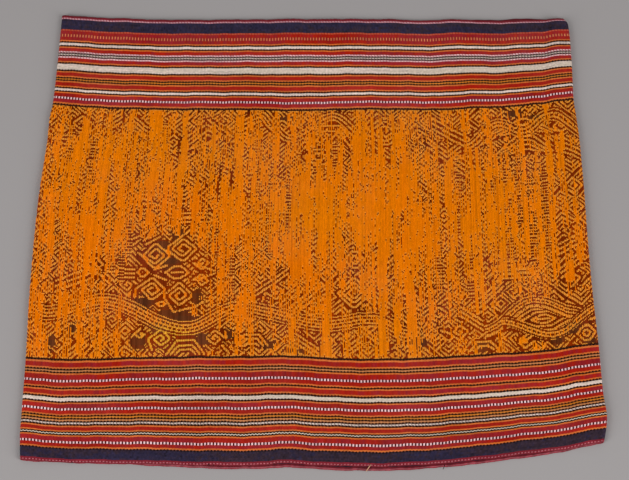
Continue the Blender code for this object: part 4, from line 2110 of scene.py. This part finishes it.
@dataclass(frozen=True)
class Studio:
    """The pale floor, the two soft lights and the camera at the photograph's angle."""

    tilt: float = radians(22.0)
    focal_pixels: float = 1474.0
    frame_pixels: float = 629.0
    pixels_per_metre: float = 971.0
    aim: tuple[float, float, float] = (0.001, -0.011, 0.0)
    sensor: float = 36.0
    floor_half: float = 5.0
    floor_dye: tuple[int, int, int] = (162, 158, 158)
    floor_streaks: float = 900.0
    floor_unevenness: float = 0.03
    floor_fading: float = 0.01
    floor_specular: float = 0.1
    clip_end: float = 50.0
    light_power: float = 56.0
    light_side: float = 2.2
    light_back: float = 1.4
    light_height: float = 1.45
    light_size: float = 1.5
    light_stretch: float = 1.4
    sky: float = 0.36
    sky_colour: tuple[float, float, float, float] = (1.0, 0.99, 0.98, 1.0)

    def camera(self) -> bpy.types.Object:
        """Makes the camera.

        Returns:
            The camera, which is also the scene's.
        """
        data = bpy.data.cameras.new("camera")
        data.sensor_fit = "HORIZONTAL"
        data.sensor_width = self.sensor
        data.lens = self.sensor * self.focal_pixels / self.frame_pixels
        data.clip_end = self.clip_end
        distance = self.focal_pixels / self.pixels_per_metre
        camera = bpy.data.objects.new("camera", data)
        camera.location = (
            self.aim[0],
            self.aim[1] - distance * sin(self.tilt),
            self.aim[2] + distance * cos(self.tilt),
        )
        camera.rotation_euler = (self.tilt, 0, 0)
        bpy.context.scene.collection.objects.link(camera)
        bpy.context.scene.camera = camera
        return camera

    def floor(self, groups: dict[str, bpy.types.NodeTree]) -> bpy.types.Object:
        """Makes the floor.

        Args:
            groups: The shared node groups by name.

        Returns:
            The floor.
        """
        half = self.floor_half
        points = np.array([(-half, -half, 0), (half, -half, 0), (half, half, 0), (-half, half, 0)])
        material = bpy.data.materials.new("floor_paper")
        material.use_nodes = True
        tree = NodeTree(material.node_tree)
        shader = material.node_tree.nodes["Principled BSDF"]
        place = tree.add("TexCoord")
        yarn = tree.add("Group", node_tree=groups["dyed_yarn"])
        yarn.inputs["Colour"].default_value = (*to_linear(self.floor_dye), 1.0)
        yarn.inputs["Streak across"].default_value = self.floor_streaks
        yarn.inputs["Streak along"].default_value = self.floor_streaks
        yarn.inputs["Unevenness"].default_value = self.floor_unevenness
        yarn.inputs["Fading"].default_value = self.floor_fading
        tree.link(place.outputs["Object"], yarn.inputs["Cloth"])
        tree.link(yarn.outputs["Colour"], shader.inputs["Base Color"])
        tree.link(yarn.outputs["Roughness"], shader.inputs["Roughness"])
        shader.inputs["Specular IOR Level"].default_value = self.floor_specular
        floor = make_piece("floor", points, np.array([(0, 1, 2, 3)]), material)
        return floor

    def lights(self) -> None:
        """Makes the lights at the left and right, and the soft light all round."""
        for name, side in (("light_left", -1), ("light_right", 1)):
            data = bpy.data.lights.new(name, "AREA")
            data.shape = "RECTANGLE"
            data.size = self.light_size
            data.size_y = self.light_size * self.light_stretch
            data.energy = self.light_power
            light = bpy.data.objects.new(name, data)
            light.location = (side * self.light_side, -self.light_back, self.light_height)
            light.rotation_euler = light.location.to_track_quat("Z", "Y").to_euler()
            bpy.context.scene.collection.objects.link(light)
        world = bpy.data.worlds.new("soft_room")
        world.use_nodes = True
        background = world.node_tree.nodes["Background"]
        background.inputs["Color"].default_value = self.sky_colour
        background.inputs["Strength"].default_value = self.sky
        bpy.context.scene.world = world
        bpy.context.scene.view_settings.view_transform = "Standard"


# The rows between two ties of a long float, on the shown side and on the hidden one.
FRONT_TIES = 7
BACK_TIES = 14

# The loose ends at the hem, through places in millimetres.
YARN_ENDS = (
    YarnEnd(
        (
            (55.6, -247.0, 4.1), (54.6, -248.3, 4.2), (53.6, -249.6, 3.8), (52.6, -250.9, 3.0),
            (51.7, -252.1, 2.2), (50.9, -253.2, 1.5),
        ),
        Dye.FLAX,
    ),
    YarnEnd(
        ((127.4, -245.8, 3.4), (126.8, -247.8, 3.6), (126.0, -249.8, 3.2), (125.2, -251.4, 2.2)),
        Dye.BROWN,
    ),
)


def main() -> None:
    """Builds the studio and the skirt, piece by piece."""
    logging.basicConfig(level=logging.INFO, format="%(message)s")
    drape = Drape()
    groups = {"yarn_relief": yarn_relief_group(), "dyed_yarn": dyed_yarn_group()}
    studio = Studio()
    studio.camera()
    studio.floor(groups)
    studio.lights()
    strip_cotton = STRIP_COTTON.material(groups)
    ground_cotton = GROUND_COTTON.material(groups)
    float_cotton = FLOAT_COTTON.material(groups)
    half_gap = SEAM_GAP / 2
    head = StripedStrip(
        "head_cloth", "head_strip", UPPER_SEAM + half_gap, WAIST, HEAD_STRIPES,
        seed=11, free_edge_on_top=True,
    ).build(drape, strip_cotton)
    foot = StripedStrip(
        "foot_cloth", "foot_strip", 0.0, LOWER_SEAM - half_gap, FOOT_STRIPES,
        seed=23, free_edge_on_top=False,
    ).build(drape, strip_cotton)
    low, high = LOWER_SEAM + half_gap, UPPER_SEAM - half_gap
    field_cloth = FieldCloth(low, high)
    ground = field_cloth.ground(drape, ground_cotton)
    chart = FieldChart(low, high).orange(drape)
    log.info("orange share of the field: %.3f", chart.mean())
    half = FIELD_PICKS // 2
    left, right, back = (
        field_cloth.floats(name, chart, picks, drape, float_cotton, every)
        for name, picks, every in (
            ("floats_left", range(half // 2), FRONT_TIES),
            ("floats_right", range(half // 2, half), FRONT_TIES),
            ("floats_back", range(half, FIELD_PICKS), BACK_TIES),
        )
    )
    insets = StripedStrip.inset, FieldCloth.inset
    stitches = [
        Overcasting(LOWER_SEAM, insets[1], insets[0]).build("stitches_low", drape, strip_cotton),
        Overcasting(UPPER_SEAM, insets[0], insets[1]).build("stitches_high", drape, strip_cotton),
    ]
    ends = [end.build(f"yarn_end_{number}", strip_cotton) for number, end in enumerate(YARN_ENDS, 1)]
    for piece in (head, foot, ground, left, right, back, *stitches, *ends):
        triangles = sum(len(face.vertices) - 2 for face in piece.data.polygons)
        log.info("%s: %d triangles", piece.name, triangles)
    drape.girth(0.45)
    drape.girth(0.05)
    drape.girth(0.25)


if __name__ == "__main__":
    main()
